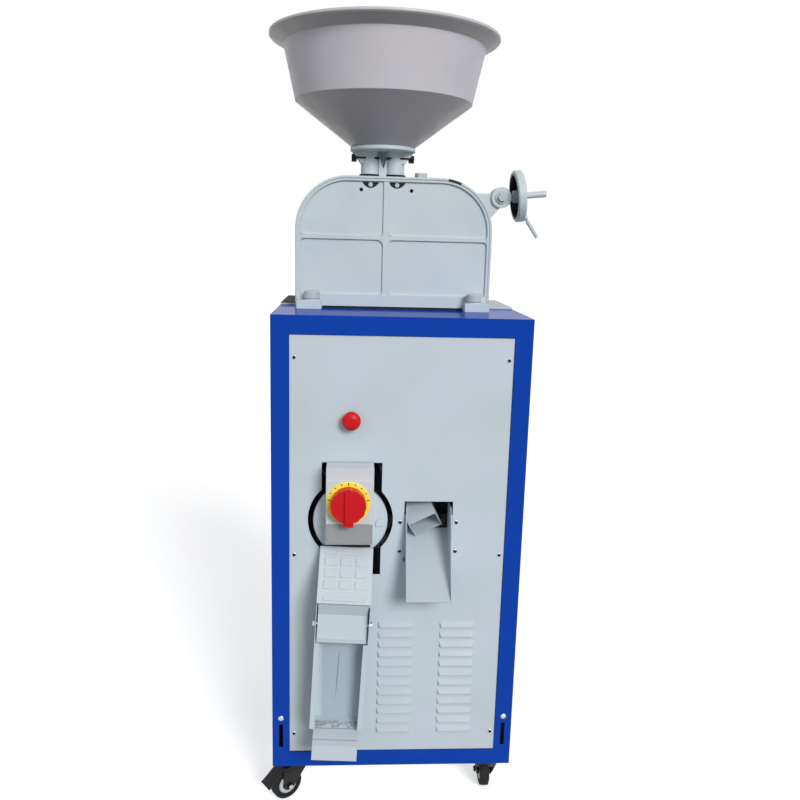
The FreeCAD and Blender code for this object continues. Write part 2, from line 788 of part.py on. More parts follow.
def isolator():
    back = "mill_face"
    shell = box("switch_block", "switch_x - switch_wide / 2", "-switch_out", "switch_z",
                "switch_wide", f"switch_out - {back}", "switch_high")
    bore = rod("switch_bore", "Y", "dial_x", "-switch_out - 1", "dial_z", "knob_pin_r + fit", "12")
    piece("switch_box", cut("switch_shell", shell, bore))
    plate = box("escutcheon", "dial_x - plate_side / 2", "-switch_out - plate_thick",
                "dial_z - plate_side / 2", "plate_side", "plate_thick", "plate_side")
    plate_bore = rod("plate_bore", "Y", "dial_x", "-switch_out - plate_thick - 1", "dial_z",
                     "knob_pin_r + fit", "plate_thick + 2")
    piece("switch_plate", cut("plate_cut", plate, plate_bore))
    dial_front = "-(switch_out + plate_thick + dial_thick)"
    dial = turned("dial_ring", "Y", (("0", "knob_pin_r + fit"), ("0", "dial_r - 1"),
                                     ("1", "dial_r"), ("dial_thick", "dial_r"),
                                     ("dial_thick", "knob_pin_r + fit")),
                  "dial_x", dial_front, "dial_z")
    piece("switch_dial", dial)
    disc = (("-0.4", "0"), ("-0.4", "knob_r"), ("-0.7 * knob_thick", "knob_r"),
            ("-knob_thick", "knob_r - 4"), ("-knob_thick", "0"))
    knob = turned("knob_disc", "Y", disc, "dial_x", dial_front, "dial_z")
    grip = box("knob_grip", "dial_x - grip_wide / 2", f"{dial_front} - knob_thick - grip_rise",
               "dial_z - knob_r + 2", "grip_wide", "grip_rise + 2", "2 * knob_r - 4")
    tab = box("knob_tab", "dial_x - grip_wide / 2", f"{dial_front} - knob_thick",
              "dial_z - knob_r - 9", "grip_wide", "knob_thick - 1", "14")
    spindle = rod("knob_spindle", "Y", "dial_x", f"{dial_front} - 1", "dial_z", "knob_pin_r",
                  "plate_thick + dial_thick + 11")
    piece("switch_knob", fuse("knob_union", knob, grip, tab, spindle))


def mill():
    front = (("-mill_face", "0"), ("-mill_face", "mill_front_r - 3"), ("3 - mill_face", "mill_front_r"),
             ("mill_flange - mill_face", "mill_front_r"), ("mill_flange - mill_face", "mill_neck_r"),
             ("mill_front_end", "mill_neck_r"), ("mill_front_end", "mill_bore"),
             ("mill_wall", "mill_bore"), ("mill_wall", "0"))
    lugs = []
    for side in (-1, 1):
        x = f"mill_x + ({side}) * mill_lug_x"
        lugs.append(rod("mill_lug", "Y", x, "-mill_face - mill_lug_rise", "mill_z - mill_lug_drop",
                        "mill_lug_r", "mill_lug_rise + 2"))
        lugs.append(box("mill_lug_foot", f"{x} - mill_lug_r", "-mill_face - mill_lug_rise",
                        "mill_z - mill_lug_drop - mill_lug_r", "2 * mill_lug_r", "mill_lug_rise + 2",
                        "mill_lug_r"))
    cap = turned("mill_front", "Y", front, "mill_x", "0", "mill_z")
    piece("mill_front_housing", fuse("mill_front_union", cap, *lugs))
    case = (("mill_front_end", "mill_bore"), ("mill_front_end", "mill_case_r"),
            ("mill_rear_start", "mill_case_r"), ("mill_rear_start", "mill_rear_r"),
            ("mill_rear_end", "mill_rear_r"), ("mill_rear_end", "mill_shaft_r + 20"),
            ("mill_rear_end - mill_wall", "mill_shaft_r + 20"),
            ("mill_rear_end - mill_wall", "mill_bore"))
    barrel = turned("mill_barrel", "Y", case, "mill_x", "0", "mill_z")
    neck = rod("mill_inlet", "Z", "mill_x", "inlet_y", "mill_z + mill_bore + 4", "inlet_r",
               "inlet_high - mill_bore - 4")
    throat = rod("mill_inlet_bore", "Z", "mill_x", "inlet_y", "mill_z + mill_bore / 2",
                 "inlet_r - 8", "inlet_high")
    drain = rod("mill_bran_hole", "Z", "mill_x", "bran_pipe_y", "mill_z - mill_rear_r",
                "fan_eye_r - 4", "mill_rear_r - mill_bore / 2")
    piece("mill_case", cut("mill_case_cut", fuse("mill_case_union", barrel, neck), throat, drain))
    shaft = turned("mill_spindle", "Y",
                   (("mill_roller_start - 10", "0"), ("mill_roller_start - 10", "mill_shaft_r"),
                    ("lane_husker + pulley_wide + 2", "mill_shaft_r"),
                    ("lane_husker + pulley_wide + 2", "0")), "mill_x", "0", "mill_z")
    pulleys = [pulley("mill_sheave", "mill_x", "mill_z", "lane_main", "mill_pulley_r", "mill_shaft_r"),
               pulley("mill_sheave_rear", "mill_x", "mill_z", "lane_husker", "husker_drive_r",
                      "mill_shaft_r")]
    piece("mill_shaft", group("mill_shaft_set", shaft, *pulleys))
    long = "mill_rear_end - mill_wall - 4 - mill_roller_start"
    core = turned("mill_core", "Y", (("0", "mill_shaft_r"), ("0", "mill_roller_r"),
                                     (long, "mill_roller_r"), (long, "mill_shaft_r")),
                  "mill_x", "mill_roller_start", "mill_z")
    ribs = []
    for k in range(4):
        rib = box("mill_rib", "0", "0", "0", "mill_rib_wide", long, "mill_rib_rise + 4")
        angle = 90 * k
        rib.Placement = Placement(Vector(), Rotation(Vector(0, 1, 0), angle))
        place(rib, f"mill_x + (mill_roller_r - 4) * sin({angle}) - mill_rib_wide / 2 * cos({angle})",
              "mill_roller_start",
              f"mill_z + (mill_roller_r - 4) * cos({angle}) + mill_rib_wide / 2 * sin({angle})")
        ribs.append(rib)
    piece("mill_roller", fuse("mill_roller_union", core, *ribs))


def mill_stand():
    parts = []
    for name, y in (("front", "stand_front_y"), ("rear", "stand_rear_y")):
        parts.append(box("stand_beam_" + name, "shell - cab_wide / 2", y, "stand_top",
                         "cab_wide - 2 * shell", "stand_deep", "stand_high"))
        parts.append(box("stand_saddle_" + name, "mill_x - saddle_wide / 2", y,
                         "stand_top + stand_high - 1", "saddle_wide", "stand_deep", "saddle_high"))
    seat = turned("saddle_cut", "Y", (("0", "0"), ("0", "mill_case_r"), ("mill_rear_start", "mill_case_r"),
                                      ("mill_rear_start", "mill_rear_r"), ("mill_rear_end", "mill_rear_r"),
                                      ("mill_rear_end", "0")), "mill_x", "0", "mill_z")
    piece("mill_stand", cut("stand_cut", fuse("stand_union", *parts), seat))


def pulley(name, x, z, lane, radius, bore):
    """A one-groove sheave; the belt's line of pull is at the given radius."""
    flank = "belt_thick / 2 + 3"
    floor = f"{radius} - belt_thick / 2 - groove_gap"
    outer = f"{radius} + belt_thick / 2"
    corners = (("0", bore), ("0", outer), ("2", outer), ("2.6", floor),
               ("pulley_wide - 2.6", floor), ("pulley_wide - 2", outer), ("pulley_wide", outer),
               ("pulley_wide", bore))
    return turned(name, "Y", corners, x, lane, z)


def belt(name, lane, first, second):
    """A belt loop round two sheaves, each given as (x, z, radius)."""
    x_one, z_one, r_one = first
    x_two, z_two, r_two = second
    y = lane + (size("pulley_wide") - size("belt_wide")) / 2
    along = Vector(x_two - x_one, 0, z_two - z_one)
    reach = along.Length
    along.normalize()
    across = Vector(along.z, 0, -along.x)

    def loop(grow):
        small, large = r_one + grow, r_two + grow
        lean = math.asin((small - large) / reach)
        ends = []
        for centre, radius in ((Vector(x_one, y, z_one), small), (Vector(x_two, y, z_two), large)):
            for side in (1, -1):
                ends.append(centre + along * (radius * math.sin(lean))
                            + across * (side * radius * math.cos(lean)))
        one_up, one_down, two_up, two_down = ends
        back = Vector(x_one, y, z_one) - along * small
        fore = Vector(x_two, y, z_two) + along * large
        edges = [Part.LineSegment(one_up, two_up).toShape(),
                 Part.Arc(two_up, fore, two_down).toShape(),
                 Part.LineSegment(two_down, one_down).toShape(),
                 Part.Arc(one_down, back, one_up).toShape()]
        return Part.Face(Part.Wire(edges)).extrude(Vector(0, size("belt_wide"), 0))

    half = size("belt_thick") / 2
    return shape_piece(name, loop(half).cut(loop(-half)))


def belts():
    main = belt("main_loop", size("lane_main"),
                (size("motor_x"), size("motor_z"), size("main_drive_r")),
                (size("mill_x"), size("mill_z"), size("mill_pulley_r")))
    husker = belt("husker_loop", size("lane_husker"),
                  (size("mill_x"), size("mill_z"), size("husker_drive_r")),
                  (fast_x(), size("cab_high") + size("roller_z"), size("fast_pulley_r")))
    fan = belt("fan_loop", size("lane_fan"),
               (size("motor_x"), size("motor_z"), size("fan_drive_r")),
               (size("fan_x"), size("fan_z"), size("fan_pulley_r")))
    piece("drive_belts", group("belt_set", main, husker, fan))


def fast_x():
    return size("slow_x") - 2 * size("roller_r") - size("roller_gap")


def chute_turn():
    return Rotation(Vector(0, 1, 0), size("chute_tilt"))


def chute_piece(label, thing):
    place(thing, "chute_x", "0", "chute_z")
    piece(label, thing, chute_turn())


def rice_chute():
    """Throat, embossed cover, swinging trough and its spout, all drawn about the chute's top."""
    half = "throat_wide / 2"
    outer = prism("throat_outer", "YZ", (
        ("-mill_face", "0"), ("-mill_face - 3", "0"), ("-mill_face - 3 - cover_out", "-cover_drop"),
        ("-flap_top", "-cover_drop - 3"), ("-flap_fold", "-flap_fold_drop"),
        ("-flap_foot", "-throat_drop + 4"), ("-flap_foot - 5", "-throat_drop"),
        ("-flap_foot - 5", "-throat_drop - 3"), ("-throat_out", "-throat_drop + 1"),
        ("-throat_out + 8", "-throat_drop + 70"), ("-mill_face", "-66")),
        f"-{half}", "throat_wide")
    wall = "chute_wall"
    inner = prism("throat_inner", "YZ", (
        (f"-mill_face - {wall}", "20"), ("-250", "20"), ("-250", "-cover_drop - 1"),
        (f"-flap_top + {wall}", "-cover_drop - 1"), (f"-flap_fold + {wall}", "-flap_fold_drop"),
        (f"-flap_foot + {wall}", "-throat_drop + 3"), (f"-flap_foot + {wall}", "-throat_drop - 60"),
        (f"-throat_out - {wall}", "-throat_drop - 60"), (f"-throat_out - {wall}", "-throat_drop"),
        (f"-throat_out + 8 - {wall}", "-throat_drop + 70.6"), (f"-mill_face - {wall}", "-64")),
        f"{wall} - {half}", f"throat_wide - 2 * {wall}")
    pin_hole = rod("throat_pin_hole", "X", "-throat_wide", "-pin_out", "-pin_drop", "pin_r",
                   "2 * throat_wide")
    chute_piece("chute_throat", cut("throat_cut", outer, inner, pin_hole))

    pins = []
    for side in (-1, 1):
        stem_from = "trough_wide / 2 - 10" if side == 1 else "-trough_wide / 2 - 0.4"
        pins.append(fuse("pin_whole",
                         rod("pin_stem", "X", stem_from, "-pin_out", "-pin_drop", "pin_r", "10.4"),
                         rod("pin_head", "X", "trough_wide / 2 + 0.4" if side == 1 else
                             "-trough_wide / 2 - 0.4 - pin_head_long", "-pin_out", "-pin_drop",
                             "pin_head_r", "pin_head_long")))
    chute_piece("chute_pins", group("pin_set", *pins))

    cover()

    shell = prism("trough_outer", "YZ", (
        ("-trough_front", "-trough_top"), ("-trough_front + 12", "-trough_foot"),
        ("-trough_back + 6", "-trough_foot - 20"), ("-trough_back", "-trough_rear_top")),
        "-trough_wide / 2", "trough_wide")
    hollow = prism("trough_inner", "YZ", (
        (f"-trough_front + {wall}", "-trough_top + 20"), (f"-trough_front + {wall}", "-trough_top"),
        (f"-trough_front + 12 + {wall}", "-trough_foot"),
        (f"-trough_front + 14 + {wall}", "-trough_foot - 60"),
        (f"-trough_back + 6 - {wall}", "-trough_foot - 60"), (f"-trough_back - {wall}", "-trough_top + 20")),
        f"{wall} - trough_wide / 2", f"trough_wide - 2 * {wall}")
    front_gap = box("trough_front_gap", "trough_lip - trough_wide / 2", "-trough_front - 10",
                    "-trough_foot - 60", "trough_wide - 2 * trough_lip", "30",
                    "trough_foot + 60 - trough_top + 10")
    open_top = box("trough_open_top", f"{wall} - trough_wide / 2", "-trough_front - 10",
                   "-trough_lip_top", f"trough_wide - 2 * {wall}", "30",
                   "trough_lip_top - trough_top + 10")
    holes = rod("trough_pin_hole", "X", "-trough_wide", "-pin_out", "-pin_drop", "pin_r + 0.1",
                "2 * trough_wide")
    channel = cut("trough_cut", shell, hollow, front_gap, open_top, holes)
    spout = prism("spout_fold", "YZ", (
        (f"-trough_back + 6 - {wall}", "-spout_start"), ("-spout_out", "-spout_bend"),
        ("-spout_out", "-spout_foot"), (f"-spout_out + {wall}", "-spout_foot"),
        (f"-spout_out + {wall}", f"-spout_bend - {wall}"),
        (f"-trough_back + 6 - {wall}", f"-spout_start - 2 * {wall}")),
        "-spout_wide / 2", "spout_wide")
    chute_piece("chute_trough", fuse("trough_union", channel, spout))


def cover():
    """Embossed cover plate, drawn flat: X across, Y up the slope, Z out of its face."""
    slope = math.degrees(math.atan2(size("cover_drop"), size("cover_out")))
    long = math.hypot(size("cover_drop"), size("cover_out"))
    sheet_box = box("cover_sheet", "-cover_wide / 2", "0", "0", "cover_wide",
                    "sqrt(cover_drop * cover_drop + cover_out * cover_out)", "cover_thick")
    raised = []
    for row in range(3):
        for column in (-1, 0, 1):
            x = f"{column} * pad_pitch_x - pad_wide / 2"
            raised.append(box("cover_pad", x, f"{row} * pad_pitch_y + 0.25 * {long}", "cover_thick - 0.5",
                              "pad_wide", "pad_high", "pad_rise + 0.5"))
    for y in (0.08, 0.88):
        raised.append(box("cover_bar", "-pad_pitch_x - pad_wide / 2", f"{y} * {long} - bar_high / 2",
                          "cover_thick - 0.5", "2 * pad_pitch_x + pad_wide", "bar_high", "pad_rise + 0.5"))
    thing = fuse("cover_union", sheet_box, *raised)
    turn = chute_turn().multiply(Rotation(Vector(1, 0, 0), slope))
    place(thing, "chute_x - cover_drop * sin(chute_tilt)", "-mill_face - 3 - cover_out",
          "chute_z - cover_drop * cos(chute_tilt)")
    piece("chute_cover", thing, turn)


def outlet_tray():
    middle = "(window_left + window_right) / 2"
    outer = prism("tray_outer", "YZ", (
        ("tray_in", "tray_top"), ("-3", "tray_top"), ("-tray_out", "tray_foot + 10"),
        ("-tray_out", "tray_foot"), ("tray_in", "tray_floor_z")),
        f"{middle} - tray_wide / 2", "tray_wide")
    inner = prism("tray_inner", "YZ", (
        ("tray_in + 20", "tray_top + 20"), ("-tray_out - 20", "tray_top + 20"),
        ("-tray_out - 20", "tray_foot + 2 - 20 * (tray_floor_z - tray_foot) / (tray_in + tray_out)"),
        ("tray_in + 20", "tray_floor_z + 2 + 20 * (tray_floor_z - tray_foot) / (tray_in + tray_out)")),
        f"{middle} - tray_wide / 2 + tray_wall", "tray_wide - 2 * tray_wall")
    ears = [box("tray_ear_sheet", x, "recess", "window_foot + 8", "tray_ear", "tray_wall", "100")
            for x in (f"{middle} - tray_wide / 2 - tray_ear", f"{middle} + tray_wide / 2")]
    holes = [rod("tray_hole", "Y", x, "recess - 1", level, "screw_r + fit", "tray_wall + 2")
             for x, level in ear_screws()]
    scoop = cut("tray_scoop", outer, inner)
    room = shape_piece("tray_duct_room", duct_block(-size("duct_gap")))
    piece("outlet_tray", cut("tray_cut", fuse("tray_union", scoop, *ears), *holes, room))


def tube_between(start, end, wide, deep):
    """A square-cornered tube from start to end whose wide side keeps level fore and aft."""
    axis = (end - start).normalize()
    side = Vector(-axis.z, 0, axis.x).normalize()
    fore = axis.cross(side).normalize()
    base = start - side * (wide / 2) - fore * (deep / 2)
    ring = [base, base + side * wide, base + side * wide + fore * deep, base + fore * deep, base]
    return Part.Face(Part.makePolygon(ring)).extrude(end - start)


def duct_block(inset):
    """The duct's filled form, from the tray's mouth up to the husker; inset draws its sides in."""
    mouth = Vector(size("duct_mouth_x"), size("duct_mouth_y"), size("duct_mouth_z"))
    knee = Vector(size("duct_knee_x"), size("duct_knee_y"), size("duct_knee_z"))
    top = Vector(knee.x, knee.y, size("cab_high") - size("shell"))
    run = (knee - mouth).normalize()
    wide, deep = size("duct_wide") - 2 * inset, size("duct_deep") - 2 * inset
    overlap = size("duct_deep") / 3 - inset
    sloped = tube_between(knee + run * overlap, mouth - run * max(inset, 0), wide, deep)
    upright = tube_between(knee - Vector(0, 0, overlap), top + Vector(0, 0, inset), wide, deep)
    return sloped.fuse(upright)


def return_duct():
    tube = duct_block(0).cut(duct_block(size("duct_wall")))
    piece("return_duct", shape_piece("duct_shape", tube.removeSplitter()))


def feed_pipe():
    top = "cab_high - 2 * shell"
    foot = "mill_z + inlet_high"
    corners = ((foot, "feed_pipe_r - 3"), (foot, "feed_pipe_r + 2"),
               (f"{top} - 40", "feed_pipe_r + 2"), (top, "feed_pipe_r + 10"), (top, "feed_pipe_r + 5"),
               (f"{top} - 42", "feed_pipe_r - 3"))
    piece("feed_pipe", turned("feed_tube", "Z", corners, "mill_x", "inlet_y", "0"))


def motor():
    inside = "motor_r - motor_wall"
    corners = (("motor_start", "motor_shaft_r + 18"), ("motor_start", "motor_r - 12"),
               ("motor_start + 12", "motor_r"), ("motor_end - 12", "motor_r"),
               ("motor_end", "motor_r - 12"), ("motor_end", "motor_shaft_r + 18"),
               ("motor_end - motor_wall", "motor_shaft_r + 18"), ("motor_end - motor_wall", inside),
               ("motor_start + motor_wall", inside), ("motor_start + motor_wall", "motor_shaft_r + 18"))
    shell = turned("motor_shell", "Y", corners, "motor_x", "0", "motor_z")
    feet = [box("motor_foot", f"motor_x + ({side}) * motor_foot_gap - motor_foot_wide / 2",
                "motor_start + 40", "base_thick", "motor_foot_wide",
                "motor_end - motor_start - 80", "motor_z - base_thick - 30") for side in (-1, 1)]
    room = rod("motor_room", "Y", "motor_x", "motor_start", "motor_z", "motor_r - 1",
               "motor_end - motor_start")
    feet = cut("motor_feet", group("motor_feet_set", *feet), room)
    piece("motor_housing", fuse("motor_union", shell, feet))
    core_from, core_to = "motor_start + 50", "motor_end - 50"
    spindle = (("motor_start - 2", "0"), ("motor_start - 2", "motor_shaft_r"),
               (core_from, "motor_shaft_r"), (core_from, "rotor_r"), (core_to, "rotor_r"),
               (core_to, "motor_shaft_r"), ("lane_fan + pulley_wide + 2", "motor_shaft_r"),
               ("lane_fan + pulley_wide + 2", "0"))
    rotor = turned("motor_spindle", "Y", spindle, "motor_x", "0", "motor_z")
    piece("motor_rotor", group("motor_rotor_set", rotor,
                               pulley("motor_sheave", "motor_x", "motor_z", "lane_main", "main_drive_r",
                                      "motor_shaft_r"),
                               pulley("motor_sheave_rear", "motor_x", "motor_z", "lane_fan",
                                      "fan_drive_r", "motor_shaft_r")))


def fan():
    inside = "fan_r - fan_wall"
    corners = (("fan_start", "fan_eye_r - 2"), ("fan_start", "fan_r"), ("fan_end", "fan_r"),
               ("fan_end", "fan_shaft_r + 16"), ("fan_end - fan_wall", "fan_shaft_r + 16"),
               ("fan_end - fan_wall", inside), ("fan_start + fan_wall", inside),
               ("fan_start + fan_wall", "fan_eye_r - 2"))
    volute = turned("fan_volute", "Y", corners, "fan_x", "0", "fan_z")
    spigot = rod("fan_spigot", "Y", "outlet_x", "fan_end - fan_wall", "outlet_z", "outlet_r",
                 "outlet_end - fan_end + fan_wall")
    bead = rod("fan_bead", "Y", "outlet_x", "cab_deep + rear_thick", "outlet_z", "bead_r", "bead_long")
    foot = box("fan_foot", "fan_x - fan_foot_wide / 2", "fan_start", "base_thick", "fan_foot_wide",
               "fan_end - fan_start", "fan_z - fan_r + 20 - base_thick")
    foot_room = rod("fan_foot_room", "Y", "fan_x", "fan_start - 1", "fan_z", "fan_r - 1",
                    "fan_end - fan_start + 2")
    bore = rod("fan_spigot_bore", "Y", "outlet_x", "fan_end - 2 * fan_wall", "outlet_z",
               "outlet_r - 2", "outlet_end - fan_end + 4 * fan_wall")
    whole = fuse("fan_union", volute, spigot, bead, cut("fan_foot_cut", foot, foot_room))
    piece("fan_housing", cut("fan_cut", whole, bore))
    spindle = turned("fan_spindle", "Y", (("fan_start + 8", "0"), ("fan_start + 8", "fan_hub_r"),
                                          ("fan_end - 8", "fan_hub_r"), ("fan_end - 8", "fan_shaft_r"),
                                          ("lane_fan + pulley_wide + 2", "fan_shaft_r"),
                                          ("lane_fan + pulley_wide + 2", "0")), "fan_x", "0", "fan_z")
    blades = []
    for k in range(6):
        blade = box("fan_blade", "0", "0", "0", "fan_blade_thick", "fan_end - fan_start - 20",
                    "fan_blade_r - fan_hub_r + 2")
        angle = 60 * k
        blade.Placement = Placement(Vector(), Rotation(Vector(0, 1, 0), angle))
        place(blade, f"fan_x + (fan_hub_r - 2) * sin({angle}) - fan_blade_thick / 2 * cos({angle})",
              "fan_start + 10",
              f"fan_z + (fan_hub_r - 2) * cos({angle}) + fan_blade_thick / 2 * sin({angle})")
        blades.append(blade)
    wheel = fuse("fan_wheel", spindle, *blades)
    piece("fan_rotor", group("fan_rotor_set", wheel,
                             pulley("fan_sheave", "fan_x", "fan_z", "lane_fan", "fan_pulley_r",
                                    "fan_shaft_r")))


def bran_pipe(grow):
    """The elbow from the mill's underside to the fan's eye, at one radius."""
    radius = f"fan_eye_r - {grow}"
    up = rod("bran_up", "Z", "fan_x", "bran_pipe_y", "fan_z", radius, "mill_z - fan_z - mill_bore")
    back = rod("bran_back", "Y", "fan_x", "bran_pipe_y", "fan_z", radius, "fan_start - bran_pipe_y")
    knee = doc.addObject("Part::Sphere", "bran_knee")
    knee.setExpression("Radius", rule(radius))
    place(knee, "fan_x", "bran_pipe_y", "fan_z")
    return fuse("bran_elbow", up, back, knee)


def bran_duct():
    seat = rod("bran_seat", "Y", "mill_x", "bran_pipe_y - 2 * fan_eye_r", "mill_z", "mill_case_r",
               "4 * fan_eye_r")
    mouth = rod("bran_mouth", "Y", "fan_x", "fan_start - 1", "fan_z", "fan_eye_r - 2", "2")
    piece("bran_duct", cut("bran_cut", bran_pipe(0), bran_pipe(2), seat, mouth))


def bearing(name, x, z, start, length, shaft, outer):
    return turned(name, "Y", (("0", f"{shaft} + fit"), ("0", outer), (length, outer),
                              (length, f"{shaft} + fit")), x, start, z)


def bearings():
    fast = "slow_x - 2 * roller_r - roller_gap"
    level = "cab_high + roller_z"
    rear = "husker_front + husker_deep"
    rings = [
        bearing("fast_bearing", fast, level, rear, "rear_plate + gear_case_deep", "roller_shaft_r", "26"),
        bearing("mill_bearing", "mill_x", "mill_z", "mill_rear_end - mill_wall", "mill_wall",
                "mill_shaft_r", "mill_shaft_r + 20"),
        bearing("motor_bearing", "motor_x", "motor_z", "motor_start", "motor_wall", "motor_shaft_r",
                "motor_shaft_r + 18"),
        bearing("motor_bearing_rear", "motor_x", "motor_z", "motor_end - motor_wall", "motor_wall",
                "motor_shaft_r", "motor_shaft_r + 18"),
        bearing("fan_bearing", "fan_x", "fan_z", "fan_end - fan_wall", "fan_wall", "fan_shaft_r",
                "fan_shaft_r + 16"),
    ]
    piece("shaft_bearings", group("bearing_set", *rings))


def husker_arch(name, inset, foot, start, length):
    """The casing's outline drawn in by inset, standing foot above the cabinet's top."""
    return arch(name, "husker_x", f"cab_high + ({foot})", f"husker_wide - 2 * ({inset})",
                f"husker_high - ({inset}) - ({foot})", f"husker_r - ({inset})", start, length)


def husker_corners():
    """Corner signs with the foot's lowest Y, front and rear, for the four mounting feet."""
    rear = "husker_front + husker_deep + rear_plate"
    return [(side, start) for side in (-1, 1) for start in ("husker_front - foot_deep", rear)]


def foot_x(side):
    return f"husker_x + ({side}) * (husker_wide / 2 - foot_edge - foot_wide / 2)"


def bolt_x(side):
    return f"husker_x + ({side}) * (husker_wide / 2 - bolt_edge)"


def husker_casing():
    body = husker_arch("casing_block", "0", "0", "husker_front", "husker_deep")
    room = husker_arch("casing_room", "husker_wall", "-1", "husker_front + husker_face",
                       "husker_deep")
    field = husker_arch("casing_field", "rim", "field_foot", "husker_front - 1", "field_deep + 1")
    rib_up = box("casing_rib_up", "rib_x - rib_wide / 2", "husker_front + 1",
                 "cab_high + field_foot - 1", "rib_wide", "field_deep + 1",
                 "husker_high - rim - field_foot + 2")
    rib_over = box("casing_rib_over", "husker_x - husker_wide / 2 + rim - 1", "husker_front + 1",
                   "cab_high + rib_z - rib_high / 2", "husker_wide - 2 * rim + 2",
                   "field_deep + 1", "rib_high")
    feet = []
    for side, start in husker_corners():
        if start == "husker_front - foot_deep":
            x = foot_x(side)
            feet.append(box("casing_foot", f"{x} - foot_wide / 2", start, "cab_high", "foot_wide",
                            "foot_deep + 1", "foot_high"))
            feet.append(rod("casing_boss", "Z", bolt_x(side), f"{start} + foot_deep / 2",
                            "cab_high + foot_high - 1", "boss_r", "boss_high + 1"))
    shell = cut("casing_shell", body, room, field)
    whole = fuse("casing_union", shell, rib_up, rib_over, *feet)
    bolts = [rod("casing_bolt_hole", "Z", bolt_x(side), "husker_front - foot_deep / 2", "cab_high - 1",
                 "foot_bolt_r + fit", "foot_high + boss_high + 2") for side in (-1, 1)]
    drains = [rod("casing_hole", "Y", x, "husker_front - 1", "cab_high + drain_z", "drain_r",
                  "husker_face + 2") for x in ("drain_left", "drain_right")]
    feeds = [rod("casing_feed", "Z", f"hopper_x + ({side}) * tube_gap / 2", "hopper_y",
                 "cab_high + husker_high - 2 * husker_wall", "tube_bore", "3 * husker_wall")
             for side in (-1, 1)]
    crown = "cab_high + husker_high"
    pockets = [common("casing_pocket",
                      rod("pocket_round", "Y", x, "husker_front - 1", f"{crown} - pocket_drop / 2",
                          "pocket_r", "husker_face - 1"),
                      box("pocket_limit", f"{x} - pocket_r", "husker_front - 1",
                          f"{crown} - pocket_drop - pocket_r", "2 * pocket_r", "husker_face - 1",
                          "pocket_r"))
               for x in ("pocket_left", "pocket_right")]
    slot = tilted(rod("casing_screw_hole", "X", "-screw_in - 20", "0", "0", "11", "screw_in + 20"))
    pin = rod("casing_pin_seat", "Y", "yoke_pin_x", "husker_front + husker_face - 4",
              "cab_high + yoke_pin_z", "yoke_pin_r + fit", "5")
    piece("husker_casing", cut("casing_cut", whole, *bolts, *drains, *feeds, *pockets, slot, pin))


def tilted(thing):
    """Carry a thing drawn about the adjuster's boss into its place on the casing."""
    whole = group(thing.Name + "_tilted", thing)
    whole.Placement = Placement(Vector(), Rotation(Vector(0, 1, 0), -size("adjust_tilt")))
    place(whole, "adjust_x", "hopper_y", "cab_high + adjust_z")
    return whole


def husker_rear():
    plate = husker_arch("rear_plate_arch", "0", "0", "husker_front + husker_deep", "rear_plate")
    fast = "slow_x - 2 * roller_r - roller_gap"
    level = "cab_high + roller_z"
    start = "husker_front + husker_deep"
    case = [rod("gear_round", "Y", x, f"{start} + rear_plate - 1", level, "gear_case_r",
                "gear_case_deep + 1") for x in (fast, "slow_x")]
    link = box("gear_link", fast, f"{start} + rear_plate - 1", f"{level} - gear_case_r",
               "2 * roller_r + roller_gap", "gear_case_deep + 1", "2 * gear_case_r")
    feet = []
    bolts = []
    for side in (-1, 1):
        x = foot_x(side)
        y = f"{start} + rear_plate"
        feet.append(box("rear_foot", f"{x} - foot_wide / 2", f"{y} - 1", "cab_high", "foot_wide",
                        "foot_deep + 1", "foot_high"))
        feet.append(rod("rear_boss", "Z", bolt_x(side), f"{y} + foot_deep / 2",
                        "cab_high + foot_high - 1", "boss_r", "boss_high + 1"))
        bolts.append(rod("rear_bolt_hole", "Z", bolt_x(side), f"{y} + foot_deep / 2", "cab_high - 1",
                         "foot_bolt_r + fit", "foot_high + boss_high + 2"))
    reach = "rear_plate + gear_case_deep + 2"
    fast_seat = rod("fast_seat", "Y", fast, f"{start} - 1", level, "26", reach)
    slot = [rod("slow_clearance", "Y", f"slow_x + {shift}", f"{start} - 1", level,
                "roller_shaft_r + 4", "rear_plate + gear_case_deep - 8") for shift in (0, 5)]
    pin = rod("rear_pin_seat", "Y", "yoke_pin_x", f"{start} - 1", "cab_high + yoke_pin_z",
              "yoke_pin_r + fit", "rear_plate - 2")
    whole = fuse("rear_plate_union", plate, *case, link, *feet)
    piece("husker_rear_plate", cut("rear_plate_cut", whole, fast_seat, *slot, pin, *bolts))


def husker_bolts():
    """Cap bolts on the feet, nuts in the rim's pockets, the crown bolt and the adjuster's pivot."""
    bolts = []
    for side, start in husker_corners():
        x = bolt_x(side)
        y = f"{start} + foot_deep / 2"
        seat = "foot_high + boss_high"
        cap = turned("foot_cap", "Z", (
            ("0", "0"), ("0", "foot_bolt_r"), (seat, "foot_bolt_r"), (seat, "foot_cap_r"),
            (f"{seat} + foot_cap_high - 3", "foot_cap_r"), (f"{seat} + foot_cap_high", "foot_cap_r - 3"),
            (f"{seat} + foot_cap_high", "0")), x, y, "cab_high")
        bolts.append(cap)
    crown = "cab_high + husker_high"
    for x in ("pocket_left", "pocket_right"):
        bolts.append(nut("neck_nut", "Y", x, "husker_front + 3", f"{crown} - pocket_drop - 5.5", "5.5",
                         "husker_face - 5"))
    cap = fuse("crown_bolt",
               rod("crown_washer", "Z", "crown_x", "hopper_y", crown, "crown_nut_r - 2", "3"),
               nut("crown_nut", "Z", "crown_x", "hopper_y", f"{crown} + 3", "crown_nut_r",
                   "crown_nut_high"))
    face = "hopper_y - boss_long / 2"
    pivot = fuse("boss_bolt",
                 rod("boss_washer", "Y", "adjust_x", f"{face} - 3", "cab_high + adjust_z", "15", "3"),
                 nut("boss_nut", "Y", "adjust_x", f"{face} - 10", "cab_high + adjust_z", "10", "7"))
    piece("husker_bolts", group("husker_bolt_set", *bolts, cap, pivot))


